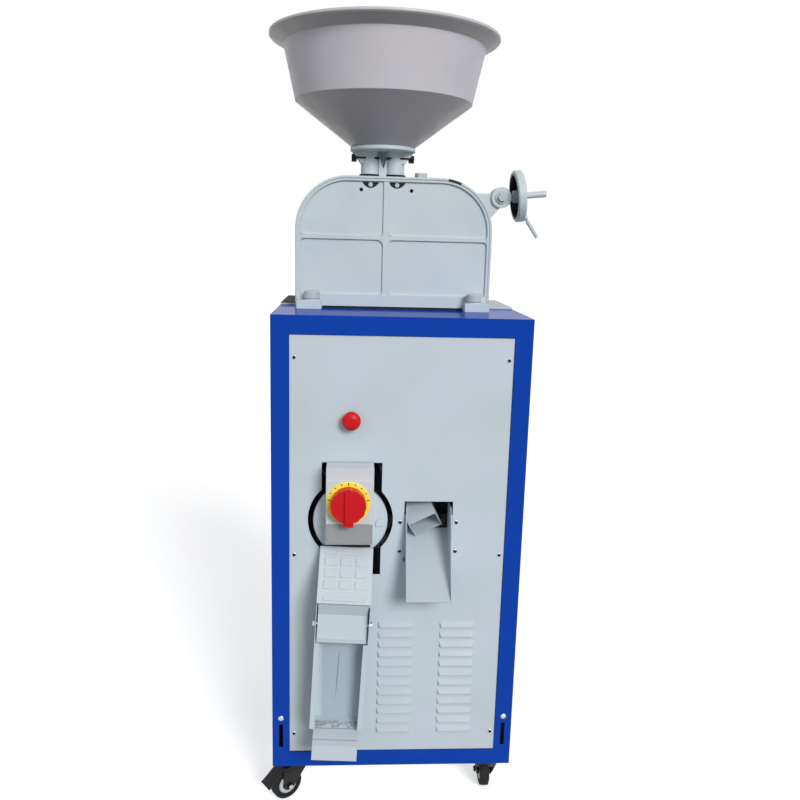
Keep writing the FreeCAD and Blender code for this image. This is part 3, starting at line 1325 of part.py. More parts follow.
def husk_roller(label, x, shaft_from, shaft_to, extra):
    level = "cab_high + roller_z"
    start = "roller_start"
    tyre = turned(label + "_tyre", "Y", (("0", "hub_r"), ("0", "roller_r - 3"), ("3", "roller_r"),
                                         ("roller_long - 3", "roller_r"), ("roller_long", "roller_r - 3"),
                                         ("roller_long", "hub_r")), x, start, level)
    spindle = turned(label + "_spindle", "Y", (
        (shaft_from, "0"), (shaft_from, "roller_shaft_r"), ("roller_start + 30", "roller_shaft_r"),
        ("roller_start + 30", "hub_r"), ("roller_start + roller_long - 30", "hub_r"),
        ("roller_start + roller_long - 30", "roller_shaft_r"), (shaft_to, "roller_shaft_r"),
        (shaft_to, "0")), x, "0", level)
    piece(label, group(label + "_set", tyre, spindle, *extra))


def rollers():
    fast = "slow_x - 2 * roller_r - roller_gap"
    sheave = pulley("fast_sheave", fast, "cab_high + roller_z", "lane_husker", "fast_pulley_r",
                    "roller_shaft_r")
    husk_roller("fast_roller", fast, "roller_start - 8", "lane_husker + pulley_wide + 2", [sheave])
    husk_roller("slow_roller", "slow_x", "yoke_front - 2",
                "husker_front + husker_deep + rear_plate + gear_case_deep - 14", [])


def roller_yoke():
    """Two cheeks and a crossbar that swing the slow roller on a pin under it."""
    rear = "roller_start + roller_long + roller_start - yoke_front - yoke_thick"
    side = "husker_x + husker_wide / 2 - yoke_bar_gap"
    cheek = (("yoke_pin_x - 18", "cab_high + yoke_pin_z - 8"),
             ("yoke_pin_x + 22", "cab_high + yoke_pin_z - 12"),
             (f"{side} + yoke_bar_thick", "cab_high + roller_z - 20"),
             (f"{side} + yoke_bar_thick", "cab_high + adjust_z + 12"),
             (f"{side} - 6", "cab_high + adjust_z + 12"), ("slow_x - 22", "cab_high + roller_z + 14"))
    cheeks = [prism("yoke_cheek", "XZ", cheek, start, "yoke_thick") for start in ("yoke_front", rear)]
    bar = box("yoke_bar", side, "yoke_front", "cab_high + roller_z + 20", "yoke_bar_thick",
              f"{rear} - yoke_front + yoke_thick", "adjust_z + 12 - roller_z - 20")
    pin = rod("yoke_pin", "Y", "yoke_pin_x", "husker_front + husker_face - 3",
              "cab_high + yoke_pin_z", "yoke_pin_r", "husker_deep - husker_face + 3 + 5")
    shaft_hole = rod("yoke_shaft_hole", "Y", "slow_x", "yoke_front - 1", "cab_high + roller_z",
                     "roller_shaft_r + fit", f"{rear} - yoke_front + yoke_thick + 2")
    screw_slot = [tilted(rod("yoke_screw_hole", "X", "-screw_in - 40", "0", rise, "screw_rod_r + 1",
                             "screw_in")) for rise in ("0", "4")]
    screw_slot.append(tilted(box("yoke_screw_gap", "-screw_in - 40", "-screw_rod_r - 1", "0",
                                 "screw_in", "2 * screw_rod_r + 2", "4")))
    whole = fuse("yoke_union", *cheeks, bar, pin)
    piece("roller_yoke", cut("yoke_cut", whole, shaft_hole, *screw_slot))


def adjuster():
    centre = "cab_high + adjust_z"
    web = prism("bracket_web", "XZ", (
        ("husker_x + husker_wide / 2 - husker_r - 10", f"{centre} + 8"),
        ("adjust_x - 8", f"{centre} + 8"), ("adjust_x - 1", f"{centre} - 22"),
        ("husker_x + husker_wide / 2 + 3", f"{centre} - 52"),
        ("husker_x + husker_wide / 2 - 12", f"{centre} - 66")), "hopper_y - web_thick / 2", "web_thick")
    boss = rod("bracket_boss", "Y", "adjust_x", "hopper_y - boss_long / 2", centre, "boss_round",
               "boss_long")
    seat = husker_arch("bracket_seat", "0", "-10", "husker_front", "husker_deep")
    bore = tilted(rod("bracket_bore", "X", "-screw_in", "0", "0", "screw_rod_r + fit",
                      "screw_in + boss_round + 10"))
    piece("adjuster_bracket", cut("bracket_cut", fuse("bracket_union", web, boss), seat, bore))

    turn = Rotation(Vector(0, 1, 0), -size("adjust_tilt"))
    spindle = rod("adjust_spindle", "X", "-screw_in", "0", "0", "screw_rod_r", "screw_in + screw_out")
    adjuster_piece("adjusting_screw", group("adjust_spindle_set", spindle), turn)
    handwheel(turn)
    crank(turn)


def adjuster_piece(label, thing, turn):
    place(thing, "adjust_x", "hopper_y", "cab_high + adjust_z")
    piece(label, thing, turn)


def handwheel(turn):
    """Dished wheel, hollow towards the machine, with a slotted lug for the folding crank."""
    left, right = "wheel_at - wheel_left", "wheel_at + wheel_right"
    bore, inner = "screw_rod_r + fit", "wheel_r - wheel_rim"
    dish = turned("wheel_dish", "X", (
        (f"{left} - 2", bore), (f"{left} - 2", "wheel_hub_r"), (f"{right} - wheel_web", "wheel_hub_r + 2"),
        (f"{right} - wheel_web", inner), (left, f"{inner} + 3"), (left, "wheel_r - 3"),
        (f"{left} + 3", "wheel_r"), (f"{right} - 3", "wheel_r"), (right, "wheel_r - 3"),
        (right, "wheel_hub_r + 2"), (f"{right} + 3", "wheel_hub_r"), (f"{right} + 3", bore)),
        "0", "0", "0")
    lug = rod("wheel_lug", "X", f"{right} - 1", "0", "-crank_r", "crank_lug_r",
              "crank_out + crank_eye_r + 1")
    slot = box("wheel_lug_slot", right, "-crank_tongue / 2 - 0.3", "-crank_r - crank_lug_r - 1",
               "crank_out + crank_eye_r + 2", "crank_tongue + 0.6", "2 * crank_lug_r + 2")
    hole = rod("wheel_lug_hole", "Y", f"{right} + crank_out", "-crank_lug_r - 2", "-crank_r",
               "crank_pin_r + fit", "2 * crank_lug_r + 4")
    whole = fuse("wheel_union", dish, lug)
    adjuster_piece("handwheel", cut("wheel_cut", whole, slot, hole), turn)


def crank(turn):
    """Folding grip on a cross pin in the wheel's lug, drawn with the grip along +X."""
    eye = rod("crank_eye", "Y", "0", "-crank_tongue / 2", "0", "crank_eye_r", "crank_tongue")
    tongue = box("crank_tongue_bar", "0", "-crank_tongue / 2", "-crank_tongue / 2", "crank_start + 1",
                 "crank_tongue", "crank_tongue")
    pin = rod("crank_pin", "Y", "0", "-crank_lug_r - 1", "0", "crank_pin_r", "2 * crank_lug_r + 2")
    grip = cone("crank_grip", "X", "crank_start", "0", "0", "crank_grip_r", "crank_grip_r - 0.8",
                "crank_long - crank_start")
    arm = group("crank_arm", fuse("crank_union", eye, tongue, pin, grip))
    arm.Placement = Placement(Vector(), Rotation(Vector(0, 1, 0), size("crank_angle")))
    place(arm, "wheel_at + wheel_right + crank_out", "0", "-crank_r")
    adjuster_piece("crank_handle", group("crank_set", arm), turn)


def feed_neck():
    """Two feed tubes under one flange, each with a gusset and a slide gate."""
    crown = "cab_high + husker_high"
    top = f"{crown} + neck_high - collar_high"
    level = f"{crown} + gate_level"
    solids = [rod("neck_collar", "Z", "hopper_x", "hopper_y", top, "collar_r", "collar_high")]
    hollows = []
    gates = []
    for side, label in ((-1, "feed_gate_left"), (1, "feed_gate_right")):
        x = f"hopper_x + ({side}) * tube_gap / 2"
        solids.append(rod("neck_tube", "Z", x, "hopper_y", crown, "tube_r", "neck_high - 1"))
        solids.append(rod("neck_foot", "Z", x, "hopper_y", crown, "tube_r + 2", "neck_foot_high"))
        for start in ("hopper_y - gusset_half", "hopper_y + gusset_half - gusset_thick"):
            solids.append(prism("neck_gusset", "XZ", (
                (x, f"{top} + 1"), (f"hopper_x + ({side}) * (collar_r - 2)", f"{top} + 1"),
                (f"hopper_x + ({side}) * (tube_gap / 2 + tube_r)", f"{top} - gusset_high"),
                (x, f"{top} - gusset_high")), start, "gusset_thick"))
        hollows.append(rod("neck_bore", "Z", x, "hopper_y", f"{crown} - 1", "tube_bore",
                           "neck_high + 2"))
        hollows.append(cone("neck_mouth", "Z", x, "hopper_y", top, "tube_bore", "mouth_r",
                            "collar_high + 0.01"))
        inner = "(tube_gap / 2 - tube_r)"
        start = inner if side == 1 else "-gate_reach"
        slot_start = f"{inner} - 1" if side == 1 else "-gate_reach - 20"
        hollows.append(box("gate_slot", f"hopper_x + {slot_start}",
                           "hopper_y - gate_wide / 2 - gate_gap", f"{level} - gate_gap",
                           f"gate_reach + 20 - {inner} + 1", "gate_wide + 2 * gate_gap",
                           "gate_thick + 2 * gate_gap"))
        blade = box("gate_blade", f"hopper_x + {start}", "hopper_y - gate_wide / 2", level,
                    f"gate_reach - {inner}", "gate_wide", "gate_thick")
        tab_start = "gate_reach - gate_tab_wide" if side == 1 else "-gate_reach"
        tab_half = "(gusset_half - gusset_thick - 1)"
        tab = box("gate_tab", f"hopper_x + {tab_start}", f"hopper_y - {tab_half}",
                  f"{level} + gate_thick / 2 - gate_tab_high / 2", "gate_tab_wide", f"2 * {tab_half}",
                  "gate_tab_high")
        gates.append((label, fuse("gate_union", blade, tab)))
    web = box("neck_web", "hopper_x - tube_gap / 2", "hopper_y - web_deep / 2", crown, "tube_gap",
              "web_deep", "neck_high - collar_high + 1")
    notch = prism("neck_notch", "XZ", (
        ("hopper_x - 8", top), ("hopper_x + 8", top), ("hopper_x + 2", f"{crown} + neck_foot_high"),
        ("hopper_x - 2", f"{crown} + neck_foot_high")), "hopper_y - web_deep", "2 * web_deep")
    web = cut("neck_web_cut", web, notch)
    piece("neck_casting", cut("neck_cut", fuse("neck_union", *solids, web), *hollows))
    for label, gate in gates:
        piece(label, gate)


def hopper_bowl():
    wall = "bowl_wall"
    corners = (("0", "bowl_foot_r"), ("bowl_break", "bowl_break_r"), ("bowl_top", "bowl_top_r"),
               ("rim_foot", "rim_r - 3"), ("rim_foot + 3", "rim_r"), ("bowl_high", "rim_r"),
               ("bowl_high", f"rim_r - {wall}"), (f"rim_foot + 2 * {wall}", f"rim_r - 2 * {wall}"),
               (f"bowl_top + 1.4 * {wall}", f"bowl_top_r - {wall}"),
               (f"bowl_break + 0.6 * {wall}", f"bowl_break_r - {wall}"), ("0", f"bowl_foot_r - 1.6 * {wall}"))
    piece("hopper_bowl", turned("bowl", "Z", corners, "hopper_x", "hopper_y",
                                "cab_high + husker_high + neck_high"))


def belt_guard():
    start = "husker_front + husker_deep + rear_plate"
    foot = "cab_high + rear_cover_rise"
    wide = "husker_wide - 2 * guard_inset"
    outer = arch("guard_outer", "guard_x", foot, wide, "guard_high", "guard_r",
                 start, f"guard_end - ({start})")
    inner = arch("guard_inner", "guard_x", f"{foot} - 1", f"{wide} - 2 * guard_wall",
                 "guard_high + 1 - guard_wall", "guard_r - guard_wall", f"{start} - 1",
                 f"guard_end - guard_wall - ({start}) + 1")
    piece("belt_guard", cut("guard_cut", outer, inner))


def caster_spot(name):
    side, y, trail = CASTERS[name]
    return f"{side} * (cab_wide / 2 - caster_edge)", y, Rotation(Vector(0, 0, 1), trail)


def caster_plates():
    sets = []
    for name in CASTERS:
        x, y, turn = caster_spot(name)
        plate = box("caster_sheet", f"{x} - caster_plate_long / 2", f"{y} - caster_plate_wide / 2",
                    "-caster_plate", "caster_plate_long", "caster_plate_wide", "caster_plate")
        pin = turned("caster_kingpin", "Z", (
            ("-caster_plate", "0"), ("-caster_plate", "kingpin_r"), ("-fork_top - 0.3", "kingpin_r"),
            ("-fork_top - 0.3", "kingpin_head_r"), ("-fork_top - 4.3", "kingpin_head_r"),
            ("-fork_top - 4.3", "0")), x, y, "0")
        sets.append(fuse("caster_plate_set", plate, pin))
    piece("caster_plates", group("caster_plate_all", *sets))


def hood_front(name, inset):
    """The hood's outline across the wheel, wide at the head and drawn in towards the axle."""
    top, waist, foot = (f"{half} - {inset}" for half in ("hood_half", "hood_half - 1", "hood_foot_half"))
    low = "wheel_radius - floor_gap - 12"
    return prism(name, "YZ", (
        (f"-({top})", f"-fork_top + 2 - {inset}"), (f"-({waist})", "-hood_waist"), (f"-({foot})", low),
        (foot, low), (waist, "-hood_waist"), (top, f"-fork_top + 2 - {inset}")), "-60", "160")


def hood_side(name, inset):
    """The hood's outline along the trail, down to the ears that hold the axle."""
    low = "wheel_radius - floor_gap"
    return prism(name, "XZ", (
        (f"{inset} - caster_race_r - 3", "-fork_top + 2"), ("pedal_pin_x + 8", "-fork_top + 2"),
        ("pedal_pin_x + 11", "-pedal_pin_drop - 6"), ("caster_trail + 11", f"{low} - 7"),
        ("caster_trail + 5", f"{low} - 11"), ("caster_trail - 5", f"{low} - 11"),
        (f"caster_trail - 11 + {inset}", f"{low} - 7")), "-60", "120")


def caster_fork(name):
    """Pressed hood with its swivel race and axle bolt, drawn with the trail along +X."""
    x, y, turn = caster_spot(name)
    race = turned("fork_race", "Z", (("-caster_plate - 0.3", "kingpin_r + fit"),
                                     ("-caster_plate - 0.3", "caster_race_r"),
                                     ("-fork_top + 2", "caster_race_r + 2"), ("-fork_top", "caster_race_r"),
                                     ("-fork_top", "kingpin_r + fit")), "0", "0", "0")
    low = "wheel_radius - floor_gap"
    skin = common("hood_skin", hood_side("hood_side", "0"), hood_front("hood_front", "0"))
    # the room inside is open at the back for the pedal and below the brow for the wheel
    room = common("hood_room", hood_side("hood_room_side", "hood_wall"),
                  hood_front("hood_room_front", "hood_wall"))
    rear = common("hood_rear", hood_front("hood_rear_front", "hood_wall"),
                  box("hood_rear_limit", "pedal_pin_x", "-60", "-90", "80", "120", "100"))
    slot = common("hood_slot", hood_front("hood_slot_front", "hood_wall"),
                  box("hood_slot_limit", "-60", "-60", "-120", "200", "120", "120 - hood_brow"))
    king = rod("hood_king_hole", "Z", "0", "0", "-fork_top - 1", "kingpin_r + fit", "fork_top")
    span = "2 * hood_half"
    pedal_hole = rod("fork_pedal_hole", "Y", "pedal_pin_x", f"-({span}) / 2 - 1", "-pedal_pin_drop",
                     "pedal_pin_r + fit", f"{span} + 2")
    hood = cut("fork_hood", skin, room, rear, slot, king)
    fork = cut("fork_cut", fuse("fork_union", hood, race), pedal_hole)
    side = "hood_axle_half"
    axle = turned("fork_axle", "Y", (
        (f"-({side}) - axle_head", "0"), (f"-({side}) - axle_head", "axle_head_r"),
        (f"-({side})", "axle_head_r"), (f"-({side})", "axle_r"), (side, "axle_r"),
        (side, "axle_head_r"), (f"{side} + axle_head", "axle_head_r"),
        (f"{side} + axle_head", "0")), "caster_trail", "0", low)
    whole = fuse("fork_set", fork, axle)
    place(whole, x, y, "0")
    piece("caster_fork_" + name, whole, turn)


def caster_wheel(name):
    x, y, turn = caster_spot(name)
    half = "tread_wide / 2"
    corners = ((f"-({half}) - 2", "axle_r + fit"), (f"-({half}) - 2", "9"), (f"-({half})", "10"),
               (f"3 - {half}", "14"), (f"3 - {half}", "wheel_radius - 9"), (f"-({half})", "wheel_radius - 7"),
               (f"2 - {half}", "wheel_radius - 1"), (f"5 - {half}", "wheel_radius"),
               (f"{half} - 5", "wheel_radius"), (f"{half} - 2", "wheel_radius - 1"),
               (half, "wheel_radius - 7"), (f"{half} - 3", "wheel_radius - 9"), (f"{half} - 3", "14"),
               (half, "10"), (f"{half} + 2", "9"), (f"{half} + 2", "axle_r + fit"))
    tread = turned("caster_tread", "Y", corners, "caster_trail", "0", "wheel_radius - floor_gap")
    whole = group("caster_wheel_set", tread)
    place(whole, x, y, "0")
    piece("caster_wheel_" + name, whole, turn)


def brake_pedal(name):
    """Brake lever over the wheel, on a cross pin between the fork's cheeks."""
    x, y, turn = caster_spot(name)
    drop = "-pedal_pin_drop"
    corners = (("pedal_pin_x - 9", f"{drop} + 2"), ("pedal_pin_x - 9", f"{drop} - 1"),
               ("pedal_pin_x - 2", f"{drop} - 2"), ("pedal_reach - 12", "-pedal_tip_drop + 5"),
               ("pedal_reach - 2", "-pedal_tip_drop"), ("pedal_reach", "-pedal_tip_drop + 3"),
               ("pedal_reach - 10", "-pedal_tip_drop + 9"), ("pedal_pin_x + 6", f"{drop} + 2"),
               ("pedal_pin_x", f"{drop} + 5"))
    tongue = prism("pedal_tongue", "XZ", corners, "-pedal_wide / 2", "pedal_wide")
    pin = rod("pedal_pin", "Y", "pedal_pin_x", "-hood_half - 1", drop, "pedal_pin_r", "2 * hood_half + 2")
    whole = group("pedal_set", fuse("pedal_union", tongue, pin))
    place(whole, x, y, "0")
    piece("brake_pedal_" + name, whole, turn)


def build():
    cabinet_shell()
    rear_cover()
    rear_panel()
    front_panel()
    panel_screws()
    stop_button()
    isolator()
    mill()
    mill_stand()
    rice_chute()
    outlet_tray()
    return_duct()
    feed_pipe()
    motor()
    fan()
    bran_duct()
    belts()
    bearings()
    husker_casing()
    husker_rear()
    husker_bolts()
    rollers()
    roller_yoke()
    adjuster()
    feed_neck()
    hopper_bowl()
    belt_guard()
    caster_plates()
    for name in CASTERS:
        caster_fork(name)
        caster_wheel(name)
    for name in ("front_left", "front_right"):
        brake_pedal(name)


build()
doc.recompute()

faults = [thing.Name for thing in doc.Objects if "Invalid" in thing.State or "Error" in thing.State]
faults += [thing.Label for thing in pieces if thing.Shape.isNull() or not thing.Shape.isValid()]
if faults:
    raise RuntimeError("These did not build: " + ", ".join(faults))

os.makedirs("parts", exist_ok=True)
for thing in pieces:
    thing.Shape.exportStep("parts/" + thing.Label + ".step")
    bounds = thing.Shape.BoundBox
    print(f"{thing.Label:26s} solids {len(thing.Shape.Solids):2d} volume {thing.Shape.Volume / 1000:9.1f} cm3  "
          f"x {bounds.XMin:7.1f} {bounds.XMax:7.1f}  y {bounds.YMin:7.1f} {bounds.YMax:7.1f}  "
          f"z {bounds.ZMin:7.1f} {bounds.ZMax:7.1f}")
print(len(pieces), "sub-parts")
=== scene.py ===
import json
import math
import random

import bmesh
import bpy
from mathutils import Matrix, Vector


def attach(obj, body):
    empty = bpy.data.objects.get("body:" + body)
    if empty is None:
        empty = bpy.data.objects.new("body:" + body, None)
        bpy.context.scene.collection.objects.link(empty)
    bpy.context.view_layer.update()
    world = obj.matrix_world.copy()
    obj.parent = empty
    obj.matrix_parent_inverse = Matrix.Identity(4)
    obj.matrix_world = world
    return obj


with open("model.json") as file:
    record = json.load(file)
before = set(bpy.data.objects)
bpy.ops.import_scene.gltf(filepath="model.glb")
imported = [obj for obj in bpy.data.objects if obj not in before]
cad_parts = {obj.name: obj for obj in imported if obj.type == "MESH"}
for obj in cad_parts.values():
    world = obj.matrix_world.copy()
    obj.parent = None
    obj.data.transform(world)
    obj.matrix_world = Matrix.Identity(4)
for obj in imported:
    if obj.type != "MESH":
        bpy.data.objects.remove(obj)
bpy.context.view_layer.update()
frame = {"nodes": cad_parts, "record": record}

NODES = frame["nodes"]

# the cabinet's front bottom middle in the part's frame, in millimetres
CABINET = (-20.3, -214.5, 105.0)

CAMERA_AT = (-110.0, -1696.0, 1224.0)
CAMERA_YAW = 3.6
CAMERA_PITCH = 11.4
CAMERA_ROLL = 1.51
CAMERA_LENS = 36.25

FLOOR_LIFT = 0.45
WORLD_LIGHT = 0.34
NOISE_ROUGHNESS = 0.55

# sizes of the CAD nodes that the small pieces sit on, in millimetres from the same point
CAB_HIGH = 1060.0
CAB_WIDE = 560.0
PANEL_FACE = 2.5
BORDER_SIDE = 39.0
BORDER_FOOT = 38.0
BORDER_TOP = 41.0
HUSKER_X = -15.0
HUSKER_WIDE = 450.0
HUSKER_FRONT = 180.0
HUSKER_ROUND = 120.0
CROWN = CAB_HIGH + 298.0
RIM = 11.0
RIB_X = -34.0
RIB_Z = CAB_HIGH + 162.0
RIB_HALF = 7
RIB_HIGH = 10
FIELD_FOOT = 33
BOLT_EDGE = 39
FOOT_TOP = 22
FOOT_FRONT_Y = -19
FOOT_REAR_Y = 197
SEAT_INSET = 62
SHOULDER_START = 104
SHOULDER_END = 137
TUBES = (-71.5, -12.5)
TUBE_Y = 265.0
POCKETS = (-71.0, -11.0)
CHUTE = (-113.0, 0.0, 548.0)
CHUTE_TILT = math.radians(2.8)
SPOUT_START = (0, -39.5, -392)
SPOUT_FALL = (0, -58.5, -38.0)
CRUMBS = 46
CRUMB_SEED = 7
DIAL = (-111.0, -55.0, 666.0)
MARK_REACH = 45.8
KNOB_RADIUS = 36.4
KNOB_LOBE = 1.5
SWITCH_FRONT = -50.0
SCREW_INSET = 50
SCREW_LEVELS = (970, 527, 85)
TRAY_X = 67
TRAY_SCREW_REACH = 63
TRAY_SCREW_LEVELS = (536, 604)
ADJUSTER = (240.0, 265.0, CAB_HIGH + 262.5)
ADJUST_TILT = math.radians(6.5)
WHEEL_AT = 44.0

# each caster's side, its Y and the way it trails in degrees
CASTERS = {
    "front_left": (-1, 50.0, 215.0),
    "front_right": (1, 50.0, 88.0),
    "rear_left": (-1, 434.0, 110.0),
    "rear_right": (1, 434.0, 60.0),
}
CASTER_EDGE = 48.0
CASTER_TRAIL = 24.0
CASTER_LEVEL = 37.5 - 105.0


def place(x, y, z):
    """A point in metres from millimetres counted from the cabinet's front bottom middle."""
    return Vector(((x + CABINET[0]) / 1000, (y + CABINET[1]) / 1000, (z + CABINET[2]) / 1000))


def linear(red, green, blue):
    """Scene colour of a screen colour given from 0 to 255."""
    def channel(value):
        value = value / 255
        return value / 12.92 if value <= 0.04045 else ((value + 0.055) / 1.055) ** 2.4
    return (channel(red), channel(green), channel(blue), 1.0)


class Surface:
    """A node material: one shader and the textures that feed it."""

    def __init__(self, name, colour, roughness, metallic=0.0):
        self.name = name
        self.material = bpy.data.materials.new(name)
        self.material.use_nodes = True
        self.nodes = self.material.node_tree.nodes
        self.links = self.material.node_tree.links
        self.shader = self.nodes["Principled BSDF"]
        self.shader.inputs["Base Color"].default_value = colour
        self.shader.inputs["Roughness"].default_value = roughness
        self.shader.inputs["Metallic"].default_value = metallic
        self.shader.inputs["Coat Weight"].default_value = 0.0
        self.shader.inputs["Coat Roughness"].default_value = 0.25
        self.colour = colour
        self.roughness = roughness
        self.height = None
        self.where = self.nodes.new("ShaderNodeTexCoord")

    def rounded(self, radius):
        """Let sharp edges catch the light as if they were rounded off."""
        bevel = self.nodes.new("ShaderNodeBevel")
        bevel.samples = 6
        bevel.inputs["Radius"].default_value = radius
        self.height = bevel.outputs["Normal"]
        self.links.new(self.height, self.shader.inputs["Normal"])
        return self

    def noise(self, scale, detail=3.0):
        """A cloudy pattern of about 1 / scale metres."""
        texture = self.nodes.new("ShaderNodeTexNoise")
        texture.inputs["Scale"].default_value = scale
        texture.inputs["Detail"].default_value = detail
        texture.inputs["Roughness"].default_value = NOISE_ROUGHNESS
        self.links.new(self.where.outputs["Object"], texture.inputs["Vector"])
        return texture.outputs["Fac"]

    def spread(self, value, low, high, start=0.35, end=0.65):
        """Map a texture's middle range to low and high."""
        ramp = self.nodes.new("ShaderNodeMapRange")
        ramp.inputs["From Min"].default_value = start
        ramp.inputs["From Max"].default_value = end
        ramp.inputs["To Min"].default_value = low
        ramp.inputs["To Max"].default_value = high
        self.links.new(value, ramp.inputs["Value"])
        return ramp.outputs["Result"]

    def tint(self, value, other):
        """Blend the base colour towards another where the value is high."""
        mix = self.nodes.new("ShaderNodeMix")
        mix.data_type = "RGBA"
        socket = self.shader.inputs["Base Color"]
        if socket.is_linked:
            self.links.new(socket.links[0].from_socket, mix.inputs["A"])
        else:
            mix.inputs["A"].default_value = self.colour
        mix.inputs["B"].default_value = other
        self.links.new(value, mix.inputs["Factor"])
        self.links.new(mix.outputs["Result"], socket)
        return self

    def gloss(self, value, swing):
        """Let the roughness wander by swing round its own value."""
        low, high = self.roughness - swing, self.roughness + swing
        self.links.new(self.spread(value, low, high), self.shader.inputs["Roughness"])
        return self

    def bump(self, value, strength, distance):
        """Raise the surface's shading by a texture, over what bumps it already."""
        node = self.nodes.new("ShaderNodeBump")
        node.inputs["Strength"].default_value = strength
        node.inputs["Distance"].default_value = distance
        self.links.new(value, node.inputs["Height"])
        if self.height is not None:
            self.links.new(self.height, node.inputs["Normal"])
        self.height = node.outputs["Normal"]
        self.links.new(self.height, self.shader.inputs["Normal"])
        return self

    def facing(self, way, start, end, most):
        """Rise from nought to most as the surface turns up (way 1) or down (way -1)."""
        product = self.nodes.new("ShaderNodeVectorMath")
        product.operation = "DOT_PRODUCT"
        product.inputs[1].default_value = (0, 0, way)
        self.links.new(self.where.outputs["Normal"], product.inputs[0])
        return self.spread(product.outputs["Value"], 0.0, most, start, end)

    def within(self, low, high, soft, most):
        """Rise to most inside a box whose corners are places, over soft metres."""
        low, high = place(*low), place(*high)
        offset = self.nodes.new("ShaderNodeVectorMath")
        offset.operation = "SUBTRACT"
        offset.inputs[1].default_value = (low + high) / 2
        self.links.new(self.where.outputs["Object"], offset.inputs[0])
        reach = self.nodes.new("ShaderNodeVectorMath")
        reach.operation = "ABSOLUTE"
        self.links.new(offset.outputs["Vector"], reach.inputs[0])
        past = self.nodes.new("ShaderNodeVectorMath")
        past.operation = "SUBTRACT"
        past.inputs[1].default_value = (high - low) / 2
        self.links.new(reach.outputs["Vector"], past.inputs[0])
        axes = self.nodes.new("ShaderNodeSeparateXYZ")
        self.links.new(past.outputs["Vector"], axes.inputs["Vector"])
        total = axes.outputs["X"]
        for axis in "YZ":
            larger = self.nodes.new("ShaderNodeMath")
            larger.operation = "MAXIMUM"
            self.links.new(total, larger.inputs[0])
            self.links.new(axes.outputs[axis], larger.inputs[1])
            total = larger.outputs["Value"]
        return self.spread(total, most, 0.0, -soft, 0.0)

    def edges(self, width, other, amount):
        """Worn or dusty edges: where the surface turns sharply within width."""
        bevel = self.nodes.new("ShaderNodeBevel")
        bevel.samples = 4
        bevel.inputs["Radius"].default_value = width
        shape = self.nodes.new("ShaderNodeNewGeometry")
        product = self.nodes.new("ShaderNodeVectorMath")
        product.operation = "DOT_PRODUCT"
        self.links.new(bevel.outputs["Normal"], product.inputs[0])
        self.links.new(shape.outputs["True Normal"], product.inputs[1])
        value = self.spread(product.outputs["Value"], amount, 0.0, 0.80, 0.97)
        return self.tint(value, other)


def powder_coat(name, colour, roughness, peel=0.10, drift=0.03, round_off=0.0012):
    """Powder coat: faint orange peel, slow tone changes, gloss that wanders."""
    paint = Surface(name, colour, roughness).rounded(round_off)
    slow = paint.noise(2.2, 4.0)
    darker = tuple(c * (1 - 3 * drift) for c in colour[:3]) + (1.0,)
    paint.tint(paint.spread(slow, 0.0, 0.7, 0.40, 0.66), darker)
    warmer = (colour[0] * (1 + drift), colour[1], colour[2] * (1 + 2 * drift), 1.0)
    paint.tint(paint.spread(paint.noise(5.0, 2.0), 0.0, 0.7, 0.42, 0.62), warmer)
    paint.gloss(paint.noise(14.0, 3.0), 0.05)
    paint.bump(paint.noise(420.0, 2.0), peel, 0.0004)
    return paint


def cast_paint(name, colour, roughness, round_off=0.0025):
    """Brushed-on paint over sand casting: pits, soft waves and small tone patches."""
    paint = Surface(name, colour, roughness).rounded(round_off)
    patch = paint.noise(9.0, 5.0)
    darker = tuple(c * 0.88 for c in colour[:3]) + (1.0,)
    paint.tint(paint.spread(patch, 0.0, 0.6, 0.42, 0.66), darker)
    dusty = (colour[0] * 1.02, colour[1] * 0.99, colour[2] * 0.93, 1.0)
    paint.tint(paint.spread(paint.noise(3.0, 3.0), 0.0, 0.8, 0.44, 0.62), dusty)
    paint.gloss(paint.noise(30.0, 3.0), 0.07)
    paint.bump(paint.noise(60.0, 4.0), 0.16, 0.0008)
    paint.bump(paint.noise(600.0, 2.0), 0.12, 0.0003)
    return paint


def metal(name, colour, roughness):
    """Bare or plated metal with fine scratches and duller patches."""
    steel = Surface(name, colour, roughness, metallic=1.0).rounded(0.0006)
    steel.gloss(steel.noise(60.0, 3.0), 0.08)
    steel.bump(steel.noise(300.0, 2.0), 0.10, 0.0002)
    darker = tuple(c * 0.7 for c in colour[:3]) + (1.0,)
    steel.tint(steel.spread(steel.noise(18.0, 4.0), 0.0, 0.5, 0.45, 0.7), darker)
    return steel


def plastic(name, colour, roughness, grain=0.06, round_off=0.0015):
    """Moulded plastic with a fine grain and slightly paler patches."""
    body = Surface(name, colour, roughness).rounded(round_off)
    body.gloss(body.noise(40.0, 2.0), 0.05)
    body.bump(body.noise(900.0, 2.0), grain, 0.0002)
    lighter = tuple(min(1.0, c * 1.12 + 0.004) for c in colour[:3]) + (1.0,)
    body.tint(body.spread(body.noise(12.0, 3.0), 0.0, 0.5, 0.45, 0.7), lighter)
    return body


def rubber(name, colour):
    """Matt rubber with dust on it."""
    body = Surface(name, colour, 0.72)
    body.shader.inputs["Specular IOR Level"].default_value = 0.2
    body.bump(body.noise(500.0, 3.0), 0.25, 0.0003)
    dusty = tuple(c * 1.7 + 0.008 for c in colour[:3]) + (1.0,)
    body.tint(body.spread(body.noise(22.0, 5.0), 0.0, 0.45, 0.45, 0.72), dusty)
    return body


